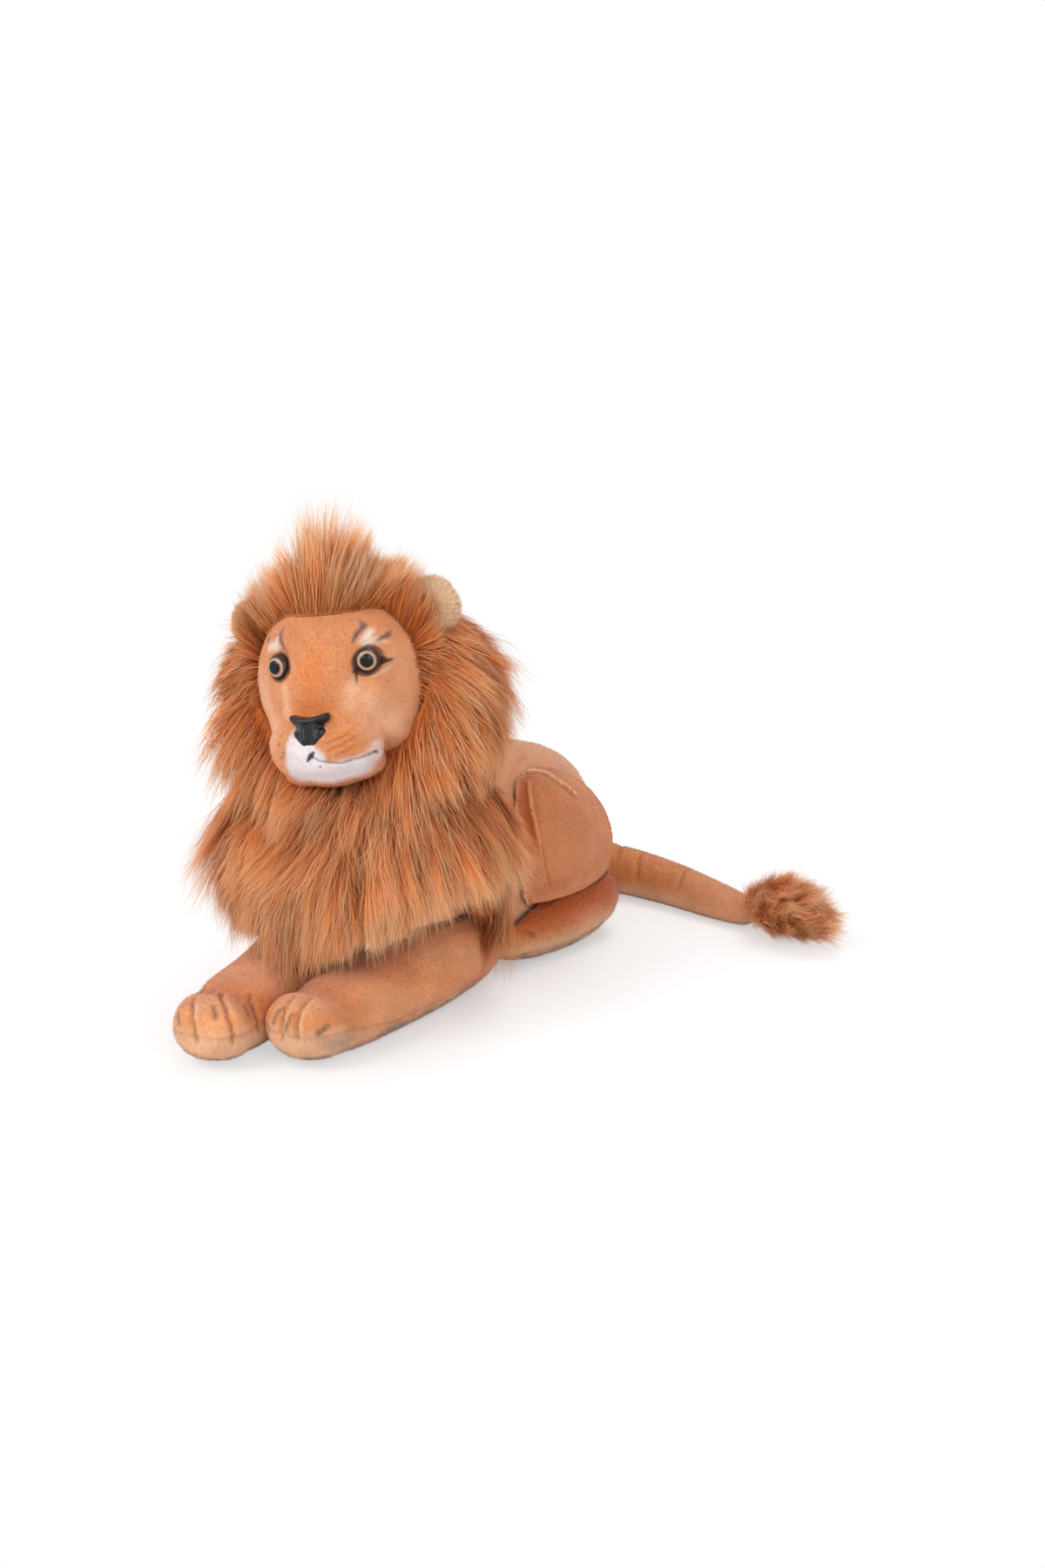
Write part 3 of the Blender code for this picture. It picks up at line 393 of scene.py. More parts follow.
def pile_tree():
    """The tree of nodes that grows pile on a skin."""
    tree = bpy.data.node_groups.new("pile", "GeometryNodeTree")
    tree.interface.new_socket("Skin", in_out="INPUT", socket_type="NodeSocketGeometry")
    for label, kind in PILE_INPUTS.items():
        tree.interface.new_socket(label, in_out="INPUT", socket_type="NodeSocket" + kind)
    tree.interface.new_socket("Pile", in_out="OUTPUT", socket_type="NodeSocketGeometry")
    add = partial(add_node, tree)
    given = add("NodeGroupInput").outputs

    thick = add(READ, {"Name": "thick"}, **NUMBER)
    place = add("GeometryNodeInputPosition")
    chance = add("FunctionNodeRandomValue", {"Seed": 7}, **NUMBER).outputs[1]
    lock_seed = add(MATH, (given["Seed"], 100.0))
    marked = {}
    for label, rate, seed in (("root", "Per Square Metre", given["Seed"]),
                              ("lock", "Locks Per Square Metre", lock_seed)):
        density = add(MATH, (thick, given[rate]), "MULTIPLY")
        points = add(SCATTER, {"Mesh": given["Skin"], "Density": density, "Seed": seed}).outputs
        marked[label] = points["Points"]
        for name, kind, value in (("_at", ARROW, place), ("_stand", ARROW, points["Normal"]),
                                  ("_odd", NUMBER, chance)):
            marked[label] = add(STORE, {"Geometry": marked[label], "Name": label + name,
                                        "Value": value}, domain="POINT", **kind)

    # Each strand remembers the lock nearest to its root.
    nearest = add("GeometryNodeSampleNearest", {"Geometry": marked["lock"]}, domain="POINT")
    strands = marked["root"]
    for name, kept_as, kind in (("lock_at", "lock_at", ARROW), ("lock_stand", "lock_stand", ARROW),
                                ("lock_odd", "lock_odd", NUMBER), ("flow", "lock_flow", ARROW),
                                ("long", "lock_long", NUMBER)):
        there = add(READ, {"Name": name}, **kind)
        sample = {"Geometry": marked["lock"], "Value": there, "Index": nearest}
        sample = add("GeometryNodeSampleIndex", sample, domain="POINT", **kind)
        strands = add(STORE, {"Geometry": strands, "Name": kept_as, "Value": sample}, domain="POINT", **kind)

    rows = add(MATH, (given["Segments"], 1.0))
    blade = add("GeometryNodeMeshGrid", {"Size X": 1.0, "Size Y": 1.0, "Vertices X": 2, "Vertices Y": rows})
    apart = add("ShaderNodeSeparateXYZ", (place,)).outputs
    for name, value in (("along", add(MATH, (apart["Y"], 0.5))), ("across", apart["X"])):
        blade = add(STORE, {"Geometry": blade, "Name": name, "Value": value}, domain="POINT", **NUMBER)
    copies = add("GeometryNodeInstanceOnPoints", {"Points": strands, "Instance": blade})
    real = add("GeometryNodeRealizeInstances", {"Geometry": copies})

    numbers = ("long", "lock_long", "root_odd", "lock_odd", "along", "across")
    kept = {name: add(READ, {"Name": name}, **kind).outputs[0]
            for kind, names in ((ARROW, STRAND_ARROWS), (NUMBER, numbers)) for name in names}
    shortest = add(MATH, (1.0, given["Vary"]), "SUBTRACT")
    ends = []
    for label, flow, long, scatter in (("root", "flow", "long", ROOT_SCATTER),
                                       ("lock", "lock_flow", "lock_long", LOCK_SCATTER)):
        vary = add(RANGE, (kept[label + "_odd"], 0, 1, shortest, 1.06))
        reach = add(MATH, (vary, kept[long]), "MULTIPLY")
        reach = add(MATH, (reach, given["Length"]), "MULTIPLY")
        ends.append(strand_place(add, kept[label + "_at"], kept[label + "_stand"], kept[flow], reach, given,
                                 kept["along"], scatter))
    # Strands close up towards the lock's tip, except a few that stray.
    closing = add(MATH, (kept["along"], 1.4), "POWER")
    strays = add(RANGE, (kept["root_odd"], 0.75, 0.92, 1.0, 0.2))
    closing = add(MATH, (closing, strays), "MULTIPLY")
    closing = add(MATH, (closing, given["Gather"]), "MULTIPLY")
    middle = add("ShaderNodeMix", {"Factor": closing, 4: ends[0], 5: ends[1]}, data_type="VECTOR")

    # The blade's width lies across the strand and along the skin, turned at random.
    facing = add(VECTOR, (kept["root_stand"], scattered(add, kept["root_at"], 7919.0)))
    side = add(VECTOR, (kept["flow"], facing), "CROSS_PRODUCT")
    side = add(VECTOR, (side,), "NORMALIZE")
    taper = add(MATH, (kept["along"], 2.0), "POWER")
    taper = add(RANGE, (taper, 0, 1, 1.0, 0.08))
    breadth = add(MATH, (kept["across"], given["Width"]), "MULTIPLY")
    breadth = add(MATH, (breadth, taper), "MULTIPLY")
    side = add(VECTOR, {0: side, "Scale": breadth}, "SCALE")
    final = add(VECTOR, (middle.outputs[1], side))
    # No strand goes through the floor: it lies down on it.
    parts = add("ShaderNodeSeparateXYZ", (final,)).outputs
    lifted = add(MATH, (parts["Z"], FLOOR_CLEAR), "MAXIMUM")
    final = add("ShaderNodeCombineXYZ", (parts["X"], parts["Y"], lifted))
    laid = add("GeometryNodeSetPosition", {"Geometry": real, "Position": final})
    smooth = add("GeometryNodeSetShadeSmooth", {"Geometry": laid})
    dyed = add("GeometryNodeSetMaterial", {"Geometry": smooth, "Material": given["Finish"]})
    add("NodeGroupOutput", {"Pile": dyed})
    return tree


PILE = pile_tree()
PILE_SOCKETS = {item.name: item.identifier for item in PILE.interface.items_tree if item.in_out == "INPUT"}


def grow_pile(name, skin, body, slot, strands, **values):
    """So many strands on a skin, as a plain mesh that rides on its body."""
    mesh = skin.data
    thick = np.empty(len(mesh.vertices), np.float32)
    mesh.attributes["thick"].data.foreach_get("value", thick)
    covered = sum(face.area * float(thick[list(face.vertices)].mean()) for face in mesh.polygons)
    holder = new_object(name, mesh.copy())
    step = holder.modifiers.new("pile", "NODES")
    step.node_group = PILE
    step[PILE_SOCKETS["Per Square Metre"]] = strands / covered
    for label, value in values.items():
        step[PILE_SOCKETS[label.replace("_", " ")]] = value
    apply_modifiers(holder)
    for spare in (*STRAND_ARROWS, "long", "lock_long", "thick", "across"):
        if holder.data.attributes.get(spare):
            holder.data.attributes.remove(holder.data.attributes[spare])
    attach(holder, body)


def lay_pile(mesh, towards, long, thick, hug=0.9):
    """Write the way the pile lies: a direction for each vertex, bent into the skin."""
    places, normals = points_of(mesh)
    every = np.ones(len(places))
    flow = towards - (hug * every)[:, None] * (np.sum(towards * normals, axis=1)[:, None] * normals)
    flow /= np.maximum(np.linalg.norm(flow, axis=1)[:, None], 1e-9)
    for name, values in (("flow", flow), ("long", long * every), ("thick", thick * every)):
        put_attribute(mesh, name, values)


# ------------------------------
# Head
# A stuffed ball of short golden plush with a white muzzle and chin sewn in front, the seams shaved and
# airbrushed by hand. One skin covers the head, muzzle and chin.
HEAD_TURN, HEAD_TILT = radians(15), radians(8.5)
NECK_PLACE = Vector(next(j for j in frame["joints"] if j["name"] == "head_turn")["pos_m"])
HEAD_FRAME = (Matrix.Translation(NECK_PLACE) @ Matrix.Rotation(HEAD_TURN, 4, "Z")
              @ Matrix.Rotation(-HEAD_TILT, 4, "Y"))
HEAD_AXES = np.array(HEAD_FRAME.to_3x3())


def in_head(places):
    """Places in the head's own frame: across, back and up from the neck's pivot."""
    return (places - np.array(NECK_PLACE)) @ HEAD_AXES


def from_head(places):
    """Places back in the lion's frame."""
    return np.asarray(places) @ HEAD_AXES.T + np.array(NECK_PLACE)


def split_where(mesh, chosen):
    """Halve the faces whose corners are all chosen, for finer colour and folds there."""
    work = bmesh.new()
    work.from_mesh(mesh)
    work.verts.ensure_lookup_table()
    edges = [e for e in work.edges if chosen[e.verts[0].index] and chosen[e.verts[1].index]]
    bmesh.ops.subdivide_edges(work, edges=edges, cuts=1, use_grid_fill=True)
    work.to_mesh(mesh)
    work.free()


head = sewn_skin("head_skin", ["head", "muzzle", "chin"], 0.0019, 8, swell=0.0055, draw_in=0.0052)
FACE_STARTS, CHIN_STARTS, CHIN_LIFT = -0.033, -0.020, 0.22
CHEEKS_START, CHEEKS_DRAWN = 0.034, 0.10
local = in_head(points_of(head.data)[0])
x, y, z = local.T
z += CHIN_LIFT * np.maximum(CHIN_STARTS - z, 0)
x -= np.sign(x) * CHEEKS_DRAWN * np.maximum(np.abs(x) - CHEEKS_START, 0) * (y < 0.0)
put_points(head.data, from_head(local))
split_where(head.data, in_head(points_of(head.data)[0])[:, 1] < FACE_STARTS)
head_mm = in_head(points_of(head.data)[0]) * 1000
# The face is painted and folded as seen from the front, so depth counts for less.
FRONTWISE = (1, 0.35, 1)
MOUTH_LINE = [(-1.6, -97.6, -14, 0.5), (3.5, -97.2, -17.8, 0.6), (15.6, -92.4, -21.5, 0.6),
              (25.5, -85.4, -20.2, 0.5), (31.6, -76, -18.5, 0.7)]
CHEEK_FOLD = [(30.7, -69.5, 4.5, 0.4), (32.9, -72.7, -7.2, 0.8), (32.5, -75.4, -16, 0.6)]
FACE_FOLDS = [
    (-10, 14, [(-34, -60, -12, 5), (-25, -65, -32, 4)]),
    (-9, 14, [(40, -52, -14, 5), (30, -60, -30, 4)]),
    (1.5, 1.4, MOUTH_LINE),
    (1.2, 2, CHEEK_FOLD),
    (1.2, 1.8, [(-29, -72, 3, 0.4), (-30, -76, -14, 0.7)]),
    (1, 1.6, [(-1.5, -97, -8, 0.3), (-1.6, -97.6, -14, 0.5)]),
    (1.8, 5, [(33.3, -65, 37, 8)], [(-26.7, -65, 37, 8)]),
    (-1.6, 6, [(22, -62, 52, 3), (40, -50, 50, 2)], [(-16, -66, 52, 3), (-34, -52, 50, 2)]),
    (-1.4, 8, [(16, -92, -8, 6), (24, -86, -10, 4)], [(-17, -90, -8, 6), (-22, -86, -10, 4)]),
    (0.8, 1, [(0, -48, 60, 0.3), (0.5, -50, 66, 1.5)]),
]
press(head.data, head_mm, FACE_FOLDS, FRONTWISE)
DARK_BROW, DARK_LID, CREAM, WHITE, FACE_SHADE = "6A5654", "3B2A24", "F0D2B2", "E9E0E3", 0.92
FACE_MARKS = [
    # Warm forehead, paler cheeks, deep orange bridge
    ("E6A478", 0.8, 9, [(52, -40, 30, 10), (50, -45, 0, 10)]),
    ("EDB48E", 0.9, 8, [(38, -62, -4, 8), (30, -70, 14, 7), (24, -76, 22, 3)]),
    ("E8B08C", 0.9, 7, [(-44, -50, 30, 4), (-42, -60, 12, 7), (-34, -72, -6, 7)]),
    ("DE8446", 0.75, 9, [(-3, -80, 12, 8), (-2, -78.6, 26, 8), (-1.4, -72.6, 40, 7)]),
    ("D97A3C", 0.7, 4, [(-14, -84, 11, 3), (-3, -84, 12, 4), (9, -84, 11, 3)]),
    ("D98444", 0.6, 5, [(12, -92, -2, 4), (22, -88, -10, 5)]),
    ("D89560", 0.6, 4, [(-22, -87, -6, 4), (-24, -84, -14, 3)]),
    ("F0C9A6", 0.5, 5, [(24, -72, 24, 2), (20, -76, 12, 3)]),
    ("F0C9A6", 0.6, 4, [(-21, -74, 26, 1.5), (-22, -78, 10, 3)]),
    # White chin and lips
    (WHITE, 1, 2.5, [(-8, -95.5, -8, 6.5), (0, -97, -17, 7.5)]),
    (WHITE, 1, 3, [(-13, -86, -25, 8), (5, -88, -27.5, 8.5), (19, -80, -26, 7.5),
                   (28, -72, -20, 3.6), (32, -74, -14, 1)]),
    (WHITE, 0.9, 2, [(-13.6, -88.5, 0, 0.6), (-15, -92, -8, 3), (-15, -88, -19, 6)]),
    ("DFA070", 0.95, 2.5, [(-26, -76, -36, 3.5), (-12, -82, -43, 5), (5, -84, -46, 6.5),
                           (22, -76, -43, 5.5), (34, -62, -34, 4)]),
    # Whisker marks and the mouth
    ("A95A28", 0.7, 0.9, [(8.2, -95.8, -7.7, 0.4), (21.8, -86.9, -3.8, 0.6)],
        [(10, -96.2, -11.7, 0.5), (25.3, -85.1, -6.7, 0.6)],
        [(13.6, -94, -15.4, 0.5), (24.2, -87.8, -11.7, 0.5)]),
    ("7E6A6A", 0.8, 0.6, MOUTH_LINE),
    ("2A2428", 0.95, 0.6, [(0.9, -97.5, -12, 0.9), (-1.5, -98, -14.2, 1.9), (-4.4, -97, -17.4, 0.7)]),
    ("4A4448", 0.8, 0.5, [(31.6, -76, -18.8, 0.9)]),
    ("5E3E32", 0.8, 0.6, [(3.1, -96.3, -21.8, 0.9)], [(-23.8, -84.6, -3.1, 0.9)],
        [(-24.6, -86.4, -8.3, 0.9)], [(-21.5, -90, -12.6, 0.9)], [(-23.2, -88.6, -15.7, 0.9)]),
    ("6A4638", 0.5, 0.5, [(11.1, -95.5, -9.5, 0.5)], [(23.4, -84.1, -1.8, 0.5)]),
    # Left eye: white brow patch, two brow marks, lids, outer wedge, inner spike
    ("EFE0D2", 0.85, 2, [(33, -55.5, 52, 2.4), (30.5, -59, 47.6, 3), (37, -56, 46.8, 1.6),
                         (42.5, -52, 44.4, 0.6)]),
    (DARK_BROW, 0.9, 1, [(24.6, -50, 61, 0.5), (28.6, -53, 55.6, 1.9), (25.6, -57.5, 52, 1.7),
                         (23.6, -60.5, 47.8, 0.5)]),
    (DARK_BROW, 0.9, 1, [(44.4, -43.5, 52.4, 0.7), (42, -48.8, 48.2, 2.1), (37.4, -53, 46.6, 0.8)]),
    (CREAM, 0.75, 1.3, [(35, -65.5, 26.2, 0.5), (42, -60, 28.4, 1.2), (50, -51, 32.6, 0.6)]),
    ("6E4A38", 0.95, 0.8, [(32.6, -65, 36.4, 9.2)]),
    (DARK_LID, 0.95, 0.6, [(40, -60, 34.6, 2.6), (43, -56.5, 33.8, 1.4), (47.4, -51.5, 33.8, 0.3)]),
    (DARK_LID, 0.9, 0.6, [(26.4, -69.5, 31.8, 2.2), (24.4, -70.5, 31.4, 0.9)]),
    (DARK_LID, 0.85, 0.6, [(26.2, -70, 30, 1.1), (26.6, -72.4, 23.6, 0.3)]),
    ("B0663E", 0.6, 0.8, [(47.4, -51.5, 33.8, 0.3), (55.5, -37.8, 34, 0.4)]),
    ("8A6658", 0.5, 0.9, [(41.7, -61.4, 20.8, 0.6), (46.1, -56.7, 22.7, 0.5)]),
    # Right eye
    ("EBDCD0", 0.8, 2.2, [(-28, -54, 53, 1.2), (-29, -58, 48.6, 2.8), (-36, -54.4, 47.2, 2)]),
    (CREAM, 0.6, 2, [(-22, -66, 30, 1.6), (-20, -68, 36, 1.4)]),
    (DARK_BROW, 0.9, 0.9, [(-25.6, -49, 60.4, 0.5), (-27.2, -54.6, 54.6, 1.5), (-23.8, -60, 50, 1.1),
                           (-20, -64.3, 45.4, 0.5)]),
    (DARK_BROW, 0.9, 0.9, [(-41.6, -42.9, 54.2, 0.6), (-38.6, -48, 51, 1.7)]),
    ("6E4A38", 0.95, 0.8, [(-26.2, -65, 36.8, 9.1)]),
    (DARK_LID, 0.85, 0.6, [(-17.4, -71.5, 38, 0.9), (-18.2, -71.5, 34, 1)]),
    (DARK_BROW, 0.6, 0.7, [(-42, -58.2, 33.2, 0.5), (-41.5, -60.3, 27.3, 0.7)]),
]
tint = plain_tint(head.data, "DA9060")
paint(tint, head_mm, FACE_MARKS, FRONTWISE)
tint[:, :3] *= FACE_SHADE
dye(head.data, tint, short_plush)
declare(head, "head", ("head", "muzzle", "chin"))

nap_pile = plush_material("nap_of_cut_pile", 0.85, 0.2, 0.12, 300.0)


def nap(name, skin, body, slot, strands, seed, length, towards, thick):
    """The short pile on a skin: strands of a millimetre or two that lean one way."""
    lay_pile(skin.data, towards, 1.0, thick)
    grow_pile(name, skin, body, slot, strands, Locks_Per_Square_Metre=150000.0, Seed=seed, Length=length,
              Width=0.00035, Segments=1, Lift=0.75, Gather=0.3, Wave=0.5, Vary=0.4, Finish=nap_pile)


x, y, z = head_mm.T
away = np.column_stack([x / 40, np.ones(len(x)), (z - 10) / 40])
nap("face_nap", head, "head", "face_plush", 38000, 61, 0.0017, away @ HEAD_AXES.T,
    1 - smooth_step(-28, -18, y))

# ------------------------------
# Ears
# Small round ears of plush, cupped in front and sewn flat into the mane's seam; longer pale pile on the rim.
for side, sign, lower, narrower, rim_colour, cup_colour in (("left", 1, 0.14, 0.06, "EFCFAE", "F0D3B8"),
                                                            ("right", -1, 0.30, 0.16, "D9A47A", "B5764A")):
    ear = sewn_skin("ear_skin_" + side, ["ear_" + side], 0.0011, 4, swell=0.0010)
    local = in_head(points_of(ear.data)[0])
    x, y, z = local.T
    z -= lower * (z - z.min())
    x -= narrower * (x - x.mean())
    put_points(ear.data, from_head(local))
    places, normals = points_of(ear.data)
    mm = in_head(places) * 1000
    x, y, z = (mm - mm.mean(axis=0)).T
    out = np.hypot(x, z)
    front = -(normals @ HEAD_AXES)[:, 1]
    tint = plain_tint(ear.data, rim_colour)
    dab(tint, (1 - smooth_step(5, 14, out)) * smooth_step(-0.1, 0.6, front), cup_colour)
    dab(tint, 0.8 * smooth_step(8, 16, z) * (sign < 0), "D39868")
    dye(ear.data, tint, short_plush)
    declare(ear, "head", ["ear_" + side])
    way = np.column_stack([x / 10, np.full(len(x), 0.1), z / 10 + 0.3])
    nap("ear_nap_" + side, ear, "head", "face_plush", 9000, 63 + sign, 0.0065, way @ HEAD_AXES.T, 1.0)

# ------------------------------
# Eyes
# Moulded acrylic safety eyes: a clear dome over a painted iris and pupil, with a dark rim, pushed through the
# cloth on a stem.
EYE_RADIUS, EYE_BULGE, EYE_RIM, STEM_RADIUS, STEM_LENGTH = 0.008, 0.0055, 0.0012, 0.0025, 0.016
EYE_ASIDE, EYE_MIDDLE, EYE_DEPTH, EYE_HEIGHT = 0.030, 0.0033, -0.0650, 0.0370
EYE_SIDES, DOME_RINGS = 48, 20


def turned(name, profile, sides):
    """A closed mesh turned round Z from a profile that starts and ends on the axis."""
    verts, faces = [(0, 0, profile[0][1])], []
    for radius, height in profile[1:-1]:
        verts += [(radius * cos(2 * pi * i / sides), radius * sin(2 * pi * i / sides), height)
                  for i in range(sides)]
    verts.append((0, 0, profile[-1][1]))
    rings = len(profile) - 2
    for i in range(sides):
        j = (i + 1) % sides
        faces.append((0, 1 + i, 1 + j))
        faces.append((len(verts) - 1, 1 + (rings - 1) * sides + j, 1 + (rings - 1) * sides + i))
        for base in range(1, 1 + (rings - 1) * sides, sides):
            faces.append((base + i, base + sides + i, base + sides + j, base + j))
    mesh = bpy.data.meshes.new(name)
    mesh.from_pydata(verts, [], faces)
    mesh.update()
    return mesh


acrylic, add, shader, place = new_material("painted_acrylic_eye", Roughness=0.4, Specular_IOR_Level=0.1,
                                           IOR=1.49, Coat_Weight=0.4, Coat_Roughness=0.04, Coat_IOR=1.49)
ring = add("ShaderNodeAttribute", attribute_name="ring").outputs["Fac"]
streak = add(NOISE, {"Vector": place, "Scale": 900.0})
radius = add(MATH, (ring, add(RANGE, (streak, 0, 1, -0.03, 0.03))))
rings = ramp_node(add, radius, ((0.0, "0E0908"), (0.47, "080505"), (0.51, "3A241A"), (0.57, "8A6852"),
                                (0.64, "BC9880"), (0.70, "B08C74"), (0.77, "70503E"), (0.83, "38241B"),
                                (1.0, "2A1A14")))
join(rings, shader.inputs["Base Color"])

for side, sign in (("left", 1), ("right", -1)):
    dome = [(EYE_RADIUS * sin(pi / 2 * i / DOME_RINGS), EYE_BULGE * cos(pi / 2 * i / DOME_RINGS))
            for i in range(DOME_RINGS + 1)]
    back = [(EYE_RADIUS, -EYE_RIM), (STEM_RADIUS, -EYE_RIM), (STEM_RADIUS, -STEM_LENGTH), (0, -STEM_LENGTH)]
    mesh = turned("eye_dome_" + side, dome + back, EYE_SIDES)
    spots = points_of(mesh)[0]
    put_attribute(mesh, "ring", np.hypot(spots[:, 0], spots[:, 1]) / EYE_RADIUS)
    mesh.transform(HEAD_FRAME @ Matrix.Translation((sign * EYE_ASIDE + EYE_MIDDLE, EYE_DEPTH, EYE_HEIGHT))
                   @ Matrix.Rotation(sign * radians(16), 4, "Z") @ Matrix.Rotation(radians(82), 4, "X"))
    mesh.shade_smooth()
    mesh.materials.append(acrylic)
    declare(new_object("eye_dome_" + side, mesh), "head", ["eye_" + side])

# ------------------------------
# Nose
# One glossy black moulding: a rolled upper edge dipping in the middle, a notch at each nostril, and a shield
# below with two upright ridges.
NOSE_PLACE = (HEAD_FRAME @ Matrix.Translation((-0.0021, -0.0892, 0.0014))
              @ Matrix.Rotation(radians(76), 4, "X"))
NOSE_ROWS, NOSE_COLUMNS = 40, 48
NOSE_FOOT, NOSE_TALL, NOSE_BACK = -11.4, 20.5, -3.0
# Half width in mm at heights in mm: foot, shield, nostril notch, rolled edge.
NOSE_HEIGHTS = (-11.4, -10.6, -8.0, -4.5, -2.0, 0.0, 2.0, 3.4, 5.0, 7.0, 8.2, 9.1)
NOSE_WIDTHS = (2.6, 4.8, 7.6, 10.6, 11.2, 9.4, 9.2, 11.6, 13.0, 13.1, 12.4, 10.4)
front = []
for row in range(NOSE_ROWS + 1):
    for column in range(NOSE_COLUMNS + 1):
        share, rise = 2 * column / NOSE_COLUMNS - 1, row / NOSE_ROWS
        across = share * float(np.interp(NOSE_FOOT + rise * NOSE_TALL, NOSE_HEIGHTS, NOSE_WIDTHS))
        top = 7.5 + 2.7 * min(abs(across) / 12.5, 1.0) ** 1.8
        up = NOSE_FOOT + rise * (top - NOSE_FOOT)
        edge = (1 - abs(share) ** 6) ** 0.5 * (1 - abs(2 * rise - 1) ** 12) ** 0.5
        roll = 3.0 * hump(up, top - 2.7, 2.0)
        ridges = 1.3 * hump(abs(across), 3.7, 1.5) * float(np.interp(up, (-11, -7, 1, 4), (0.4, 1, 1, 0)))
        notch = -2.6 * hump(abs(across), 8.4, 2.4) * hump(up, 1.2, 1.9)
        swell = 2.2 * (1 - (across / 14) ** 2)
        front.append((across, up, edge * (2.6 + swell + roll + ridges + notch)))
count, wide = len(front), NOSE_COLUMNS + 1
verts = [(x / 1000, y / 1000, z / 1000) for x, y, z in front + [(x, y, NOSE_BACK) for x, y, z in front]]
faces = []
for row in range(NOSE_ROWS):
    for a in range(row * wide, row * wide + NOSE_COLUMNS):
        faces.append((a, a + 1, a + wide + 1, a + wide))
        faces.append((count + a, count + a + wide, count + a + wide + 1, count + a + 1))
border = ([c for c in range(wide)] + [r * wide + NOSE_COLUMNS for r in range(1, NOSE_ROWS + 1)]
          + [NOSE_ROWS * wide + c for c in range(NOSE_COLUMNS - 1, -1, -1)]
          + [r * wide for r in range(NOSE_ROWS - 1, 0, -1)])
faces += [(a, count + a, count + b, b) for a, b in zip(border, border[1:] + border[:1])]
mesh = bpy.data.meshes.new("nose_moulding")
mesh.from_pydata(verts, [], faces)
mesh.transform(NOSE_PLACE)
mesh.shade_smooth()
black, add, shader, place = new_material("glossy_black_moulding", Base_Color=linear("17171D"), IOR=1.5,
                                         Specular_IOR_Level=0.35)
wear = add(NOISE, {"Vector": place, "Scale": 250.0})
join(add(RANGE, (wear, 0, 1, 0.12, 0.22)), shader.inputs["Roughness"])
mesh.materials.append(black)
declare(new_object("nose_moulding", mesh), "head", ["nose"])

# ------------------------------
# Hidden fixings and neck
# White moulded lock washers inside the head, and the plush stump that carries it.
white_moulding, add, shader, place = new_material("moulded_white_washer", Base_Color=linear("E8E6E0"))
grain = add(NOISE, {"Vector": place, "Scale": 400.0})
join(add(RANGE, (grain, 0, 1, 0.35, 0.5)), shader.inputs["Roughness"])
for node in ("eye_washer_left", "eye_washer_right", "nose_washer"):
    frame["nodes"][node].data.materials.clear()
    frame["nodes"][node].data.materials.append(white_moulding)
neck = sewn_skin("neck_skin", ["neck"], 0.004, 3)
dye(neck.data, plain_tint(neck.data, "C0703A"), short_plush)
declare(neck, "torso", ["neck"])

# ------------------------------
# Mane
# Long acrylic pile, 40 to 70 mm, on a knitted ground: combed out from the face, standing up over the forehead
# and hanging over the chest and shoulders. The ground cloth is darker than the tips.
MANE_SINK, HAIR_WIDTH, GROUND_COLOUR = 0.006, 0.0004, "B8672E"
HEAD_MIDDLE = np.array([0, -0.022, 0.014])


def long_pile_material(name, root, low, high, tip):
    """Long acrylic pile: deep at the root, bleached at the tip, and no two strands quite alike."""
    made, add, shader, place = new_material(name, Roughness=0.6, Specular_IOR_Level=0.25)
    along, lock, strand = (add("ShaderNodeAttribute", attribute_name=label).outputs["Fac"]
                           for label in ("along", "lock_odd", "root_odd"))
    shades = ramp_node(add, along, ((0.0, root), (0.25, low), (0.65, high), (1.0, tip)))
    patches = add(NOISE, {"Vector": place, "Scale": 35.0, "Detail": 2.0})
    level = add(RANGE, (add(MATH, (lock, patches)), 0.3, 1.7, 0.80, 1.22))
    shade = add(VECTOR, {0: shades, "Scale": level}, "SCALE")
    # One strand in five is bleached.
    pale = add(RANGE, (strand, 0.74, 1.0, 0.0, 0.6))
    mixed = add("ShaderNodeMix", {"Factor": pale, 6: shade, 7: linear("EBCBA4")}, data_type="RGBA").outputs[2]
    join(mixed, shader.inputs["Base Color"])
    # Fine strands let some light through.
    glow = add("ShaderNodeBsdfTranslucent", {"Color": mixed})
    both = add("ShaderNodeMixShader", (0.3, shader, glow))
    join(both, shader.id_data.nodes["Material Output"].inputs["Surface"])
    return made


mane_ground = plush_material("long_pile_ground", 0.95, 0.1, 0.12, 300.0)
mane_pile = long_pile_material("long_acrylic_pile", "A65620", "CB7030", "DB8A4A", "E8B482")
crest_pile = long_pile_material("long_acrylic_pile_crest", "A85A24", "CC7636", "DE9A62", "F0CCA4")


def mane_base(name, nodes, swell=0.0004):
    """The knitted ground of a mane piece."""
    piece = sewn_skin(name, nodes, 0.0035, 5, swell)
    dye(piece.data, plain_tint(piece.data, GROUND_COLOUR), mane_ground)
    return piece


head_surface = surface(head.data)


def hug_head(mesh, thinner):
    """Draw a piece of the mane down towards the head, to a share of its own thickness."""
    local = in_head(points_of(mesh)[0])
    middle = Vector(from_head(HEAD_MIDDLE))
    for i, place in enumerate(from_head(local)):
        if thinner[i] >= 0.999:
            continue
        way = Vector(place) - middle
        hit = head_surface.ray_cast(middle + way.normalized() * 0.2, -way.normalized())[0]
        if hit is not None and way.length > (hit - middle).length:
            skin = (hit - middle).length
            local[i] = (HEAD_MIDDLE + (local[i] - HEAD_MIDDLE)
                        * (skin + (way.length - skin) * thinner[i]) / way.length)
    put_points(mesh, from_head(local))


def sink(mesh, share):
    """Draw the ground in where long pile has to fill the outline."""
    places, normals = points_of(mesh)
    put_points(mesh, places - normals * (MANE_SINK * share)[:, None])
    return points_of(mesh)


def turn_step(low, high, turn):
    """A smooth step between two angles in degrees."""
    return smooth_step(radians(low), radians(high), turn)


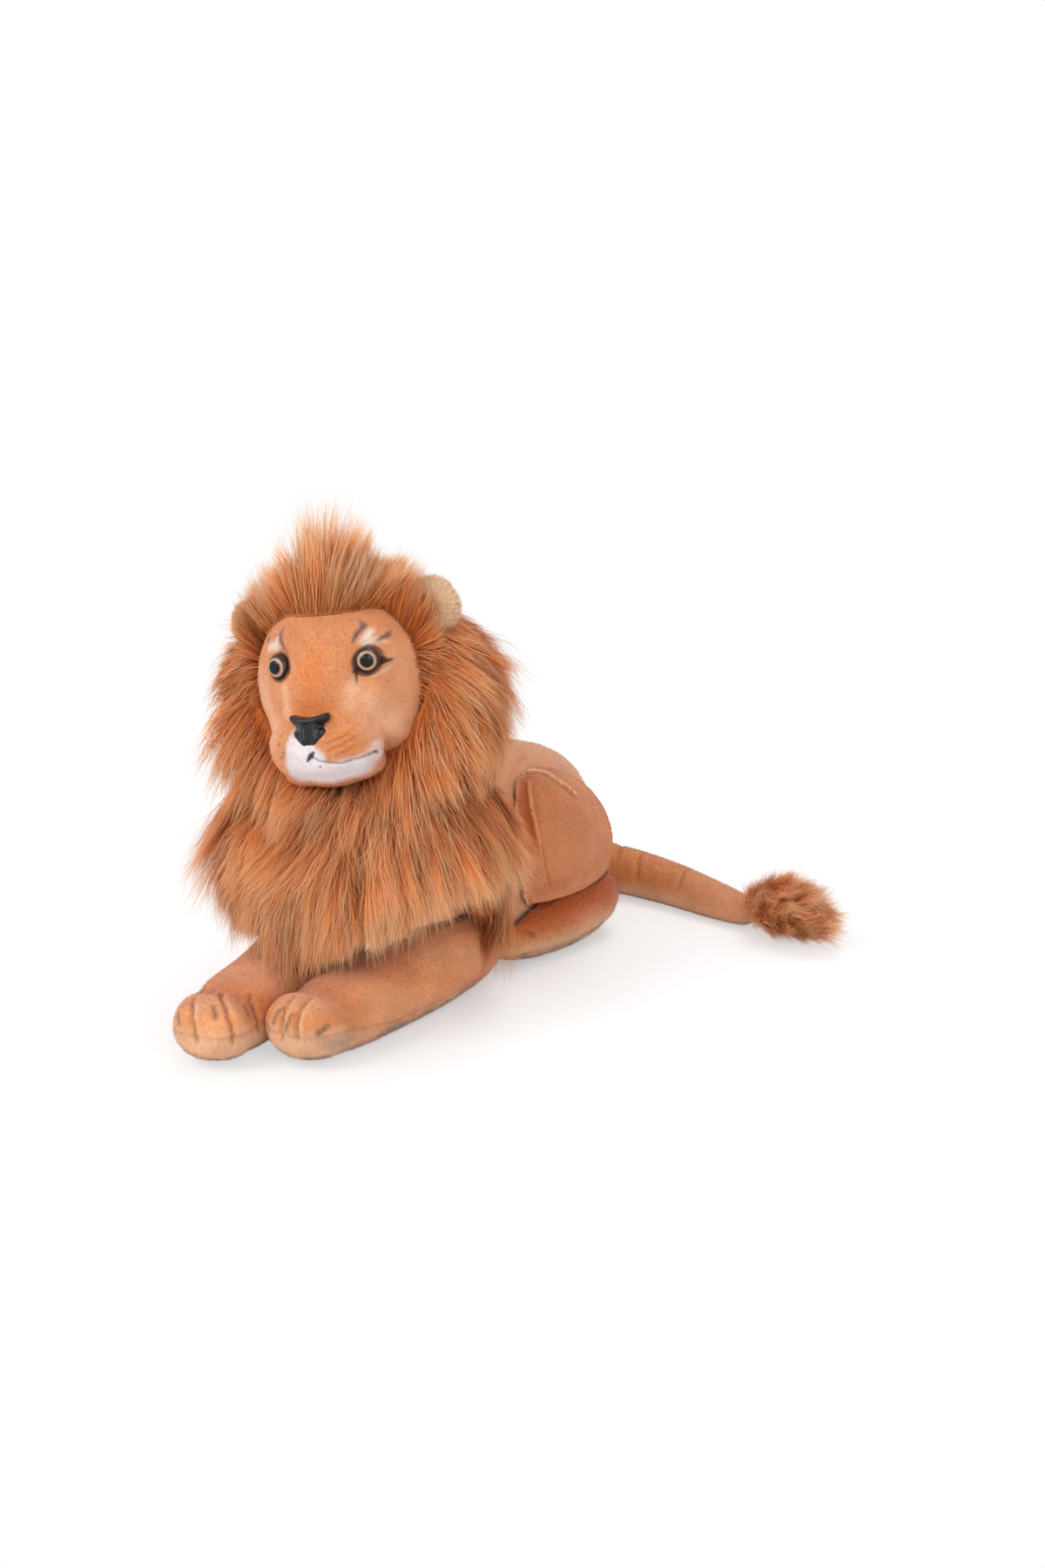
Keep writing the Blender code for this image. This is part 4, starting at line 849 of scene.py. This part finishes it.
# The ruff: pile leaves the face all round, lies back over the crown, stands off at the sides and falls under
# the chin over the bib. Its two halves are sewn together, so one ground cloth covers both.
RUFF_MIDDLE, RUFF_AXIS, RUFF_CORE = 0.012, 0.015, np.array([0, -0.02, 0.017])
LOCK_TURN, GAP_TURN = radians(104), radians(72)
ruff = mane_base("ruff_ground", ["mane_ruff_left", "mane_ruff_right"], 0.0012)
x, y, z = in_head(points_of(ruff.data)[0]).T
turn = np.abs(np.arctan2(x, z - RUFF_MIDDLE))
closer = 1 - smooth_step(radians(48), np.where(x > 0, radians(98), radians(80)), turn)
hug_head(ruff.data, 1 - 0.50 * closer * (z > 0.02))
x, y, z = in_head(points_of(ruff.data)[0]).T
stands_off = smooth_step(0.062, 0.085, np.hypot(x, z - RUFF_AXIS)) * (turn > radians(60))
places, normals = sink(ruff.data, stands_off)
local, facing = in_head(places), normals @ HEAD_AXES
x, y, z = local.T
# The turn runs from the crown, past the sides, to the seam under the chin.
around = np.arctan2(x, z - RUFF_MIDDLE)
turn = np.abs(around)
lean = np.where(around > 0, radians(66), radians(60)) * turn_step(30, 75, turn)
lean *= 1 - turn_step(90, 180, turn)
turned_by = around + np.sign(around) * lean
crown = 1 - turn_step(35, 70, turn)
under = turn_step(120, 165, turn)
shelf = under * smooth_step(-0.2, 0.4, facing[:, 2])
way = np.column_stack([np.sin(turned_by), 0.25 + 0.9 * crown - 0.85 * under - 1.2 * shelf,
                       np.cos(turned_by) - 0.7 * crown])
outward = local - RUFF_CORE
outward /= np.linalg.norm(outward, axis=1)[:, None]
thick = smooth_step(-0.15, 0.15, np.sum(outward * facing, axis=1) + 0.6 * shelf)
thick *= 1 - smooth_step(-0.3, -0.6, facing[:, 2]) * smooth_step(-0.045, -0.065, z) * (1 - under)
# Fewer strands on the back of the neck, which only its own side shows.
thick *= 1 - 0.5 * smooth_step(0.0, 0.04, y)
thick *= 1 + 0.8 * under
# Short over the crown and beside the ears, long at the sides; one lock stands out and a gap lies above it.
long = 0.60 + 0.40 * turn_step(40, 110, turn) + 0.25 * under
long *= 1 - np.where(around > 0, 0.24, 0.20) * (1 - under)
long *= 1 - 0.38 * (around > 0) * turn_step(88, 60, turn)
long *= 1 + (around < 0) * (0.25 * hump(turn, LOCK_TURN, 0.22) - 0.35 * hump(turn, GAP_TURN, 0.25))
way = way @ HEAD_AXES.T
way[:, 1] -= 0.25 * (x < 0) * turn_step(50, 80, turn)
for side, sign in (("left", 1), ("right", -1)):
    lay_pile(ruff.data, way, long, thick * (sign * x > 0), hug=0.9 - 0.7 * under)
    grow_pile("ruff_pile_" + side, ruff, "head", "mane_pile", 20500, Locks_Per_Square_Metre=12000.0,
              Seed=11 + sign, Length=0.060, Width=HAIR_WIDTH, Segments=4, Lift=0.34, Gather=0.55, Wave=0.7,
              Vary=0.7, Finish=mane_pile)
declare(ruff, "head", ["mane_ruff_left", "mane_ruff_right"])

# Shorter strands at the edge of the face close the seam between plush and ruff, longer beside the ears.
x, y, z = (in_head(points_of(head.data)[0]) * 1000).T
around = np.arctan2(x, z - 12)
beside_ear = 1 - turn_step(55, 75, np.abs(around))
way = np.column_stack([np.sin(around), np.full(len(x), -0.25), np.cos(around) - 0.5])
way += beside_ear[:, None] * np.array([0.0, 0.30, 1.0])
band = smooth_step(-40, -33, y - 6 * beside_ear) * (1 - smooth_step(-24, -16, y))
band *= turn_step(28, 38, np.abs(around)) * (1 + 2 * beside_ear)
lay_pile(head.data, way @ HEAD_AXES.T, 0.7 + 0.9 * beside_ear, band, hug=0.5)
grow_pile("face_edge_pile", head, "head", "mane_pile", 12000, Locks_Per_Square_Metre=20000.0, Seed=41,
          Length=0.024, Width=HAIR_WIDTH, Segments=3, Lift=0.35, Gather=0.5, Wave=0.7, Vary=0.6,
          Finish=mane_pile)

# The crest: its ground cloth is a cap on the head behind the hairline. The pile stands up and fans out over
# the forehead, longest in the middle.
CAP_THICKNESS, CREST_MIDDLE = 0.0018, -0.004
cap_mesh = head.data.copy()
cap_mesh.name = "crest_ground"
x, y, z = in_head(points_of(cap_mesh)[0]).T
hairline = 0.064 - 20 * np.maximum(np.abs(x - 0.002) - 0.022, 0) ** 2
on_cap = (z > np.where(y < 0, hairline, 0.040)) & (y < 0.030) & (z > 0.030)
cap = bmesh.new()
cap.from_mesh(cap_mesh)
cap.verts.ensure_lookup_table()
bmesh.ops.delete(cap, geom=[v for v in cap.verts if not on_cap[v.index]], context="VERTS")
cap.to_mesh(cap_mesh)
cap.free()
crest = new_object("crest_ground", cap_mesh)
thicken = crest.modifiers.new("cloth", "SOLIDIFY")
thicken.thickness, thicken.offset = CAP_THICKNESS, 1.0
apply_modifiers(crest)
dye(crest.data, plain_tint(crest.data, GROUND_COLOUR), mane_ground)
crest.data.shade_smooth()
places, normals = points_of(crest.data)
local, facing = in_head(places), normals @ HEAD_AXES
x, y, z = local.T
behind = smooth_step(-0.035, 0.015, y)
way = np.column_stack([(x - CREST_MIDDLE) * 22 + 0.12, 0.02 + 0.75 * behind, np.full(len(x), 1.0)])
long = 0.44 + 0.56 * hump(x, CREST_MIDDLE, 0.015) + 0.18 * hump(x, 0.031, 0.007)
long *= 1 - 0.45 * behind
from_skin = np.sum((local - HEAD_MIDDLE) * facing, axis=1)
lay_pile(crest.data, way @ HEAD_AXES.T, long, smooth_step(0.0, 0.01, from_skin), hug=0.25)
grow_pile("crest_pile", crest, "head", "mane_pile", 20500, Locks_Per_Square_Metre=12000.0, Seed=21,
          Length=0.070, Width=HAIR_WIDTH, Segments=4, Lift=0.12, Gather=0.60, Wave=0.55, Vary=0.70,
          Finish=crest_pile)
declare(crest, "head", ["mane_crest"])

# The bib: three panels that hang over the chest and shoulders and part above the forelegs.
BETWEEN_LEGS, BEHIND_LEGS, OVER_LEGS, LEG_MIDDLE = 0.026, 0.008, 0.055, 0.030
CHEST_AXIS = np.array([0, -0.144, 0])
for number, (node, strands, lift) in enumerate((("mane_chest", 19000, 0.16), ("mane_side_left", 20500, 0.22),
                                                ("mane_side_right", 15000, 0.22))):
    bib = mane_base(node.replace("mane", "bib") + "_ground", [node])
    places, normals = sink(bib.data, np.ones(len(bib.data.vertices)))
    x, y, z = places.T
    # The upper edge lies back under the ruff.
    tucked = smooth_step(0.125, 0.165, z)
    places[:, :2] -= 0.14 * tucked[:, None] * (places[:, :2] - CHEST_AXIS[:2])
    # Behind the shoulder the cloth stops short of the haunch.
    behind = np.maximum(y + 0.092, 0)
    y -= 0.70 * behind
    x += 0.30 * np.maximum(-x - 0.060, 0)
    x *= 1 - 0.08 * smooth_step(0.0, 0.03, behind)
    # The hem clears the forelegs and waves a little.
    wide = np.abs(x)
    over_leg = smooth_step(0.012, 0.022, wide) * smooth_step(-0.104, -0.116, y)
    clear = ((OVER_LEGS + np.where(x > 0, 0.55, 0.20) * np.clip(wide - LEG_MIDDLE, 0, 0.06)) * over_leg
             + (1 - over_leg) * np.where(wide < 0.045, BETWEEN_LEGS, BEHIND_LEGS))
    clear += 0.004 * np.sin(x * 310) * np.sin(y * 170 + 1)
    cloth_edge = (clear + 0.010) * over_leg
    hemmed = z < cloth_edge
    places[:, 2] = np.maximum(z, cloth_edge)
    put_points(bib.data, places)
    places, normals = points_of(bib.data)
    x, y, z = places.T
    outward = places - CHEST_AXIS
    outward[:, 2] = 0
    outward /= np.maximum(np.linalg.norm(outward, axis=1)[:, None], 1e-6)
    right = smooth_step(0.03, 0.06, -x)
    way = outward * (0.20 - 0.17 * right - 0.10 * (number == 0))[:, None] + np.array([0, 0, -1.0])
    way[:, 0] -= 6 * x * smooth_step(0.05, 0.0, np.abs(x)) * (outward[:, 1] < -0.5)
    raised = smooth_step(0.075, 0.105, z)
    way[:, 1] -= 0.65 * smooth_step(-0.14, -0.09, y) * raised
    way[:, 1] -= 0.35 * right
    long = np.clip((z - clear) / 0.064, 0.15, 1.0)
    long *= 1 - 0.45 * smooth_step(-0.13, -0.09, y) * raised
    faces_out = np.sum((outward * 0.9 + np.array([0, 0, 0.3])) * normals, axis=1)
    lay_pile(bib.data, way, long, smooth_step(0.0, 0.3, faces_out) * (1 - 0.9 * hemmed))
    grow_pile(node.replace("mane", "bib") + "_pile", bib, "torso", "mane_pile", strands,
              Locks_Per_Square_Metre=11000.0, Seed=31 + number, Length=0.068, Width=HAIR_WIDTH, Segments=4,
              Lift=lift, Gather=0.55, Wave=0.7, Vary=0.75, Finish=mane_pile)
    declare(bib, "torso", [node])

# ------------------------------
# Torso and haunches
# One stuffed body with a panel sewn on each side for the haunch; the panel's seam stands up as a ridge, and a
# pinched line runs down it. Each ridge has a painted highlight along it and painted shadow beside it.
BACK_FOLD = [(16.6, 22.6, 141.1, 0.3), (28.7, 10.1, 138.4, 0.7), (32.2, -4.5, 137.5, 0.7),
    (37.8, -20.4, 134.9, 0.4)]
torso = sewn_skin("torso_skin", ["torso"], 0.003, 6, swell=0.0018, draw_in=0.0035)
back_fold = along_skin(torso.data, [BACK_FOLD])
press(torso.data, points_of(torso.data)[0] * 1000, [(1.8, 2.5, *back_fold)])
places = points_of(torso.data)[0]
x, y, z = places.T
tint = plain_tint(torso.data, "CC8A60")
# Painted light from above: the top of the body is made lighter.
dab(tint, 0.7 * smooth_step(0.11, 0.15, z), "D39266")
dab(tint, 0.7 * smooth_step(0.03, 0.0, z), "D9B08C")
# Painted shade: a darker line along the pressed fold over the back.
paint(tint, places * 1000, [("B0622F", 0.7, 2.5, *back_fold)])
dye(torso.data, tint, short_plush)
declare(torso, "torso", ["torso"])
BACKWARD = np.array([0.0, 1.0, -0.5])
nap("torso_nap", torso, "torso", "short_plush", 16000, 71, 0.0022, BACKWARD, smooth_step(-0.09, -0.06, y))

HAUNCH_SEAM = [(39, -21, 133, 0.5), (38.5, -13, 134.5, 0.8), (41.5, -8, 135.5, 0.9), (46, -4, 136, 0.9),
               (52, -0.5, 134.5, 0.9), (60, -0.5, 132, 0.8), (66, 1, 128, 0.7), (71, 4.4, 124, 0.5),
               (76, 7.5, 117.5, 0.3)]
PINCHED_LINE = [(50, -20.7, 133, 0.4), (56.6, -29, 128.3, 0.8), (61.7, -34.9, 122, 0.9),
                (67.1, -39.1, 112.8, 0.9), (70.9, -40.7, 103.3, 0.8), (73.7, -40.8, 92.6, 0.5)]
LOWER_SEAM = [(75.1, -38.6, 91, 0.4), (76.5, -37.3, 80.9, 0.5), (77, -35.8, 71.8, 0.5),
    (77.4, -31.8, 60, 0.7)]
# Painted shade and light on the haunch: darker towards the mane and along the lower edge where the haunch
# meets the foot, lighter over the back of the haunch; a softer dark patch lies behind the pinched line.
HAUNCH_PAINTED_SHADE_AND_LIGHT = [
    ("AE5420", 0.95, 6, [(46, -16, 131, 3), (56, -34, 119, 6), (68, -46, 92, 5)]),
    ("BC6A38", 0.6, 7, [(60, -16, 128, 3), (72, -20, 108, 3)]),
    ("A9562A", 0.8, 5, [(86, 40, 56, 2), (84, -10, 60, 3), (70, -45, 56, 4)]),
    ("D9A27A", 0.7, 7, [(60, 20, 128, 5), (78, 40, 108, 5), (86, 60, 84, 5)]),
]
for side, sign, strands in (("left", 1, 28000), ("right", -1, 14000)):
    haunch = sewn_skin("haunch_skin_" + side, ["thigh_" + side], 0.0018, 5, swell=0.0026, draw_in=0.0040)
    lines = along_skin(haunch.data, moved((HAUNCH_SEAM, PINCHED_LINE, LOWER_SEAM), mirror=sign))
    mm = points_of(haunch.data)[0] * 1000
    press(haunch.data, mm, [(-2.6, 1.7, lines[0]), (2.2, 3.0, *moved(lines[:1], back=-4)),
                            (-2.4, 1.5, lines[1]), (1.4, 3.0, *moved(lines[1:2], back=-5)),
                            (1.2, 1.0, lines[2])])
    tint = plain_tint(haunch.data, "C88054")
    mm *= np.array([sign, 1, 1])
    upper, pinched, lower = moved(lines, mirror=sign)
    # Painted shadow beside the upper seam and the pinched line, and a painted highlight along each; the lower
    # seam is drawn darker.
    paint(tint, mm, HAUNCH_PAINTED_SHADE_AND_LIGHT + [("8E4A22", 0.8, 1.6, *moved([upper], back=-3, up=-1.5)),
                                     ("8E4A22", 0.8, 1.4, *moved([pinched], back=-3)),
                                     ("F0C6A0", 0.95, 0.9, upper), ("EBA064", 0.95, 0.8, pinched),
                                     ("A05A30", 0.7, 0.8, lower)])
    dye(haunch.data, tint, short_plush)
    declare(haunch, "torso", ["thigh_" + side])
    nap("haunch_nap_" + side, haunch, "torso", "short_plush", strands, 73 + sign, 0.0018, BACKWARD,
        smooth_step(30.0, 44.0, mm[:, 0]))

# ------------------------------
# Forelegs and hind feet
# Stuffed limbs with a paler sole panel sewn under each, toes pulled in by stitches, and airbrushed claws.
SEAM_BEHIND, SEAM_IN_FRONT = 15.0, 26.0
FORWARD = np.array([0.0, -0.6, -0.8])
LIMBS = {
    "foreleg_left": ([[(25.2, -258, 43.8, 0.3), (25.2, -263.7, 42.8, 0.6), (26.9, -271.7, 37, 0.9),
         (26.4, -274.1, 29, 0.9), (27, -273.4, 14, 0.5)],
        [(35.8, -256, 45, 0.3), (35.8, -261.5, 44.3, 0.6), (37, -270.6, 40, 0.9), (38, -275, 33, 0.9),
         (38.7, -275.4, 14, 0.5)],
        [(14, -260, 42, 0.3), (14.5, -267, 36, 0.7), (15, -271, 26, 0.8), (15, -271, 14, 0.4)]],
        [[(24, -270.5, 40, 0.7), (20.5, -274.3, 31.7, 1.2)],
         [(34, -272.8, 38.7, 0.7), (30.6, -274.6, 29.6, 1.2)],
        [(52.3, -262.4, 32.2, 1), (49, -268.7, 28.8, 1.6)]]),
    "foreleg_right": ([[(-28.5, -291, 43, 0.3), (-27.3, -296.4, 41.6, 0.6), (-22.4, -300.1, 39.2, 0.9),
         (-17.6, -304.9, 33, 0.9), (-15.3, -305.6, 23.8, 0.9), (-15, -305.6, 14, 0.5)],
        [(-18, -278, 45, 0.3), (-15, -282.9, 43.7, 0.6), (-8.5, -288.7, 41.2, 0.9),
         (-0.7, -295.5, 36.4, 0.9), (1.9, -295.8, 25.3, 0.9), (2.2, -296, 14, 0.5)],
        [(-4, -266, 43, 0.3), (-0.7, -269.4, 41.6, 0.6), (5, -270.8, 35, 0.9), (7.3, -271.6, 25.2, 0.9),
         (7.3, -272, 14, 0.5)]],
        [[(-31.7, -303.5, 36.6, 0.8), (-27.7, -306.8, 32.3, 1.4)],
         [(-10.4, -297.4, 42.3, 0.9), (-5.6, -301, 37.6, 1.4)],
        [(0.1, -277.6, 41, 0.7), (4.8, -280, 35.4, 1.2)]]),
    "hind_foot_left": ([], [[(65.2, -42.6, 28.6, 0.9), (67.2, -40.6, 26.2, 1.4)]]),
    "hind_foot_right": ([], [[(-65.2, -42.6, 28.6, 0.9), (-67.2, -40.6, 26.2, 1.4)]]),
}
for number, (limb, (grooves, claws)) in enumerate(LIMBS.items()):
    fore = limb.startswith("foreleg")
    sole = limb.replace("foreleg", "foreleg_sole").replace("hind_foot", "hind_sole")
    skin = sewn_skin(limb + "_skin", [limb, sole], 0.0018, 8, swell=0.004, draw_in=0.0034 if fore else 0.0052)
    grooves, claws = along_skin(skin.data, grooves), along_skin(skin.data, claws)
    mm = points_of(skin.data)[0] * 1000
    x, y, z = mm.T
    # The wrist is drawn in behind the toes, the toes swell, and stitches pull them apart.
    if fore:
        behind_toes = y - (y.min() + 26 - 0.25 * (z - 25))
        swollen = 1 - smooth_step(-5, 5, behind_toes)
        wrist = hump(behind_toes, 13, 9) * smooth_step(14, 34, z)
        places, normals = points_of(skin.data)
        put_points(skin.data, places + normals * (0.0016 * swollen - 0.0022 * wrist)[:, None])
    grooves = [[point for point in line if point[2] > 22] for line in grooves]
    press(skin.data, mm, [(4.2, 3.0, *grooves)])
    places, normals = points_of(skin.data)
    # The seam of the lower panel runs higher round the toes.
    over_seam = z - (SEAM_BEHIND + (SEAM_IN_FRONT - SEAM_BEHIND) * smooth_step(-185, -262, y)
                     if fore else np.full(len(z), SEAM_BEHIND - 4))
    seam = hump(over_seam, 0, 1.1) * (1 - np.abs(normals[:, 2]) ** 4)
    places -= normals * 0.0008 * seam[:, None]
    places[:, 2] = np.maximum(places[:, 2], FLOOR_CLEAR)
    put_points(skin.data, places)
    below_seam = 1 - smooth_step(-5, 1.5, over_seam)
    patches = np.sin(x / 9 + 2) * np.sin(y / 11) + np.sin(y / 17 + z / 7)
    dark = np.sin(x / 2.3) * np.sin(y / 3.1) * 1.5
    dabs = [(0.35 * smooth_step(0.2, 1.2, patches), "C4713C"),
            (0.30 * smooth_step(0.2, 1.2, -patches), "DDA47C")]
    if fore:
        toe = 1 - smooth_step(0, 14, y - y.min() - 12)
        dabs += [(0.55 * hump(behind_toes, 14, 14) * smooth_step(20, 40, z), "C46C34"),
                 (0.8 * swollen * (1 - smooth_step(0, 7, over_seam)), "E0B48E"),
                 (0.5 * swollen * smooth_step(36, 43, z), "D9A078")]
    else:
        toe = smooth_step(-20, -45, y)
        # Painted shade under the thigh: the top of the hind foot is darker.
        dabs += [(0.95 * smooth_step(22, 38, z), "B4541A"),
                 (0.8 * (1 - smooth_step(14, 28, z)), "DDB28C")]
    dabs += [(0.5 * below_seam, "DDAC86"), (0.5 * smooth_step(0.1, 1.1, patches) * below_seam, "9C8478"),
             (0.35 * seam, "BC8052"),
             ((0.35 + 0.6 * toe) * (1 - smooth_step(4.0, 13.0, z + 2 * dark)), "5A4A40")]
    tint = plain_tint(skin.data, "E39E6C" if fore else "CE7C48")
    for share, code in dabs:
        dab(tint, share, code)
    # Painted highlight along the toes beside each groove and painted shade in the grooves; the claws are
    # airbrushed marks.
    paint(tint, mm, [("EBC6A2", 0.75, 2.0, *moved(grooves, across=3)), ("AE6436", 0.7, 1.7, *grooves),
                     ("66503F", 0.8, 1.7, *claws)])
    dye(skin.data, tint, short_plush)
    declare(skin, limb, [limb, sole])
    nap(limb + "_nap", skin, limb, "short_plush", 34000 if fore else 16000, 81 + number, 0.0028, FORWARD,
        smooth_step(1.0, 3.0, z))

# ------------------------------
# Tail
# A narrow stuffed tube of short plush, creased where it bends, with a tuft of long pile at its tip.
TAIL_FOLDS = [[(52, 138, 33, 0.4), (53.5, 129, 31, 0.8), (57.2, 122, 26, 0.8), (58, 119.5, 17, 0.4)],
              [(92, 134, 29, 0.3), (93, 125.7, 27.2, 0.6), (94, 119.6, 23.3, 0.6), (93.3, 115.8, 17.4, 0.3)],
              [(30, 146, 34, 0.3), (34, 134, 33, 0.5), (37, 128, 24, 0.3)]]
tail = sewn_skin("tail_skin", ["tail"], 0.0018, 6, swell=0.0012)
mm = points_of(tail.data)[0] * 1000
x, y, z = mm.T
folds = along_skin(tail.data, TAIL_FOLDS)
press(tail.data, mm, [(2.2, 2.4, *folds)])
press(tail.data, mm, [(-1.0, 4.0, *moved(folds, across=-6))])
tint = plain_tint(tail.data, "D08450")
dab(tint, 0.8 * (1 - smooth_step(5, 20, z)), "E2B28C")
dab(tint, 0.6 * smooth_step(70, 130, x), "DA9E74")
# Painted contact shade: darker where the tail lies on the floor.
dab(tint, 0.7 * (1 - smooth_step(1, 4, z)), "8A6A54")
# Painted shade in the creases.
paint(tint, mm, [("9A5022", 0.75, 1.3, *folds)])
dye(tail.data, tint, short_plush)
declare(tail, "tail", ["tail"])
nap("tail_nap", tail, "tail", "short_plush", 19000, 91, 0.0022, np.array([1.0, 0.0, -0.3]),
    smooth_step(0.0, 2.0, z))

tuft = mane_base("tuft_ground", ["tail_tuft"])
places = sink(tuft.data, np.ones(len(tuft.data.vertices)) * 1.3)[0]
way = (places - places.mean(axis=0)) * np.array([14, 22, 22]) + np.array([0.35, -0.08, 0.15])
lay_pile(tuft.data, way, 0.55 + 0.35 * smooth_step(0.180, 0.215, places[:, 0]), 1.0, hug=0.5)
tuft_pile = long_pile_material("long_acrylic_pile_tuft", "C8743A", "D98444", "E6A26A", "F2CCA4")
grow_pile("tuft_pile", tuft, "tail", "mane_pile", 11500, Locks_Per_Square_Metre=26000.0, Seed=51,
          Length=0.027, Width=0.0003, Segments=4, Lift=0.25, Gather=0.15, Wave=1.8, Vary=0.75,
          Finish=tuft_pile)
declare(tuft, "tail", ["tail_tuft"])
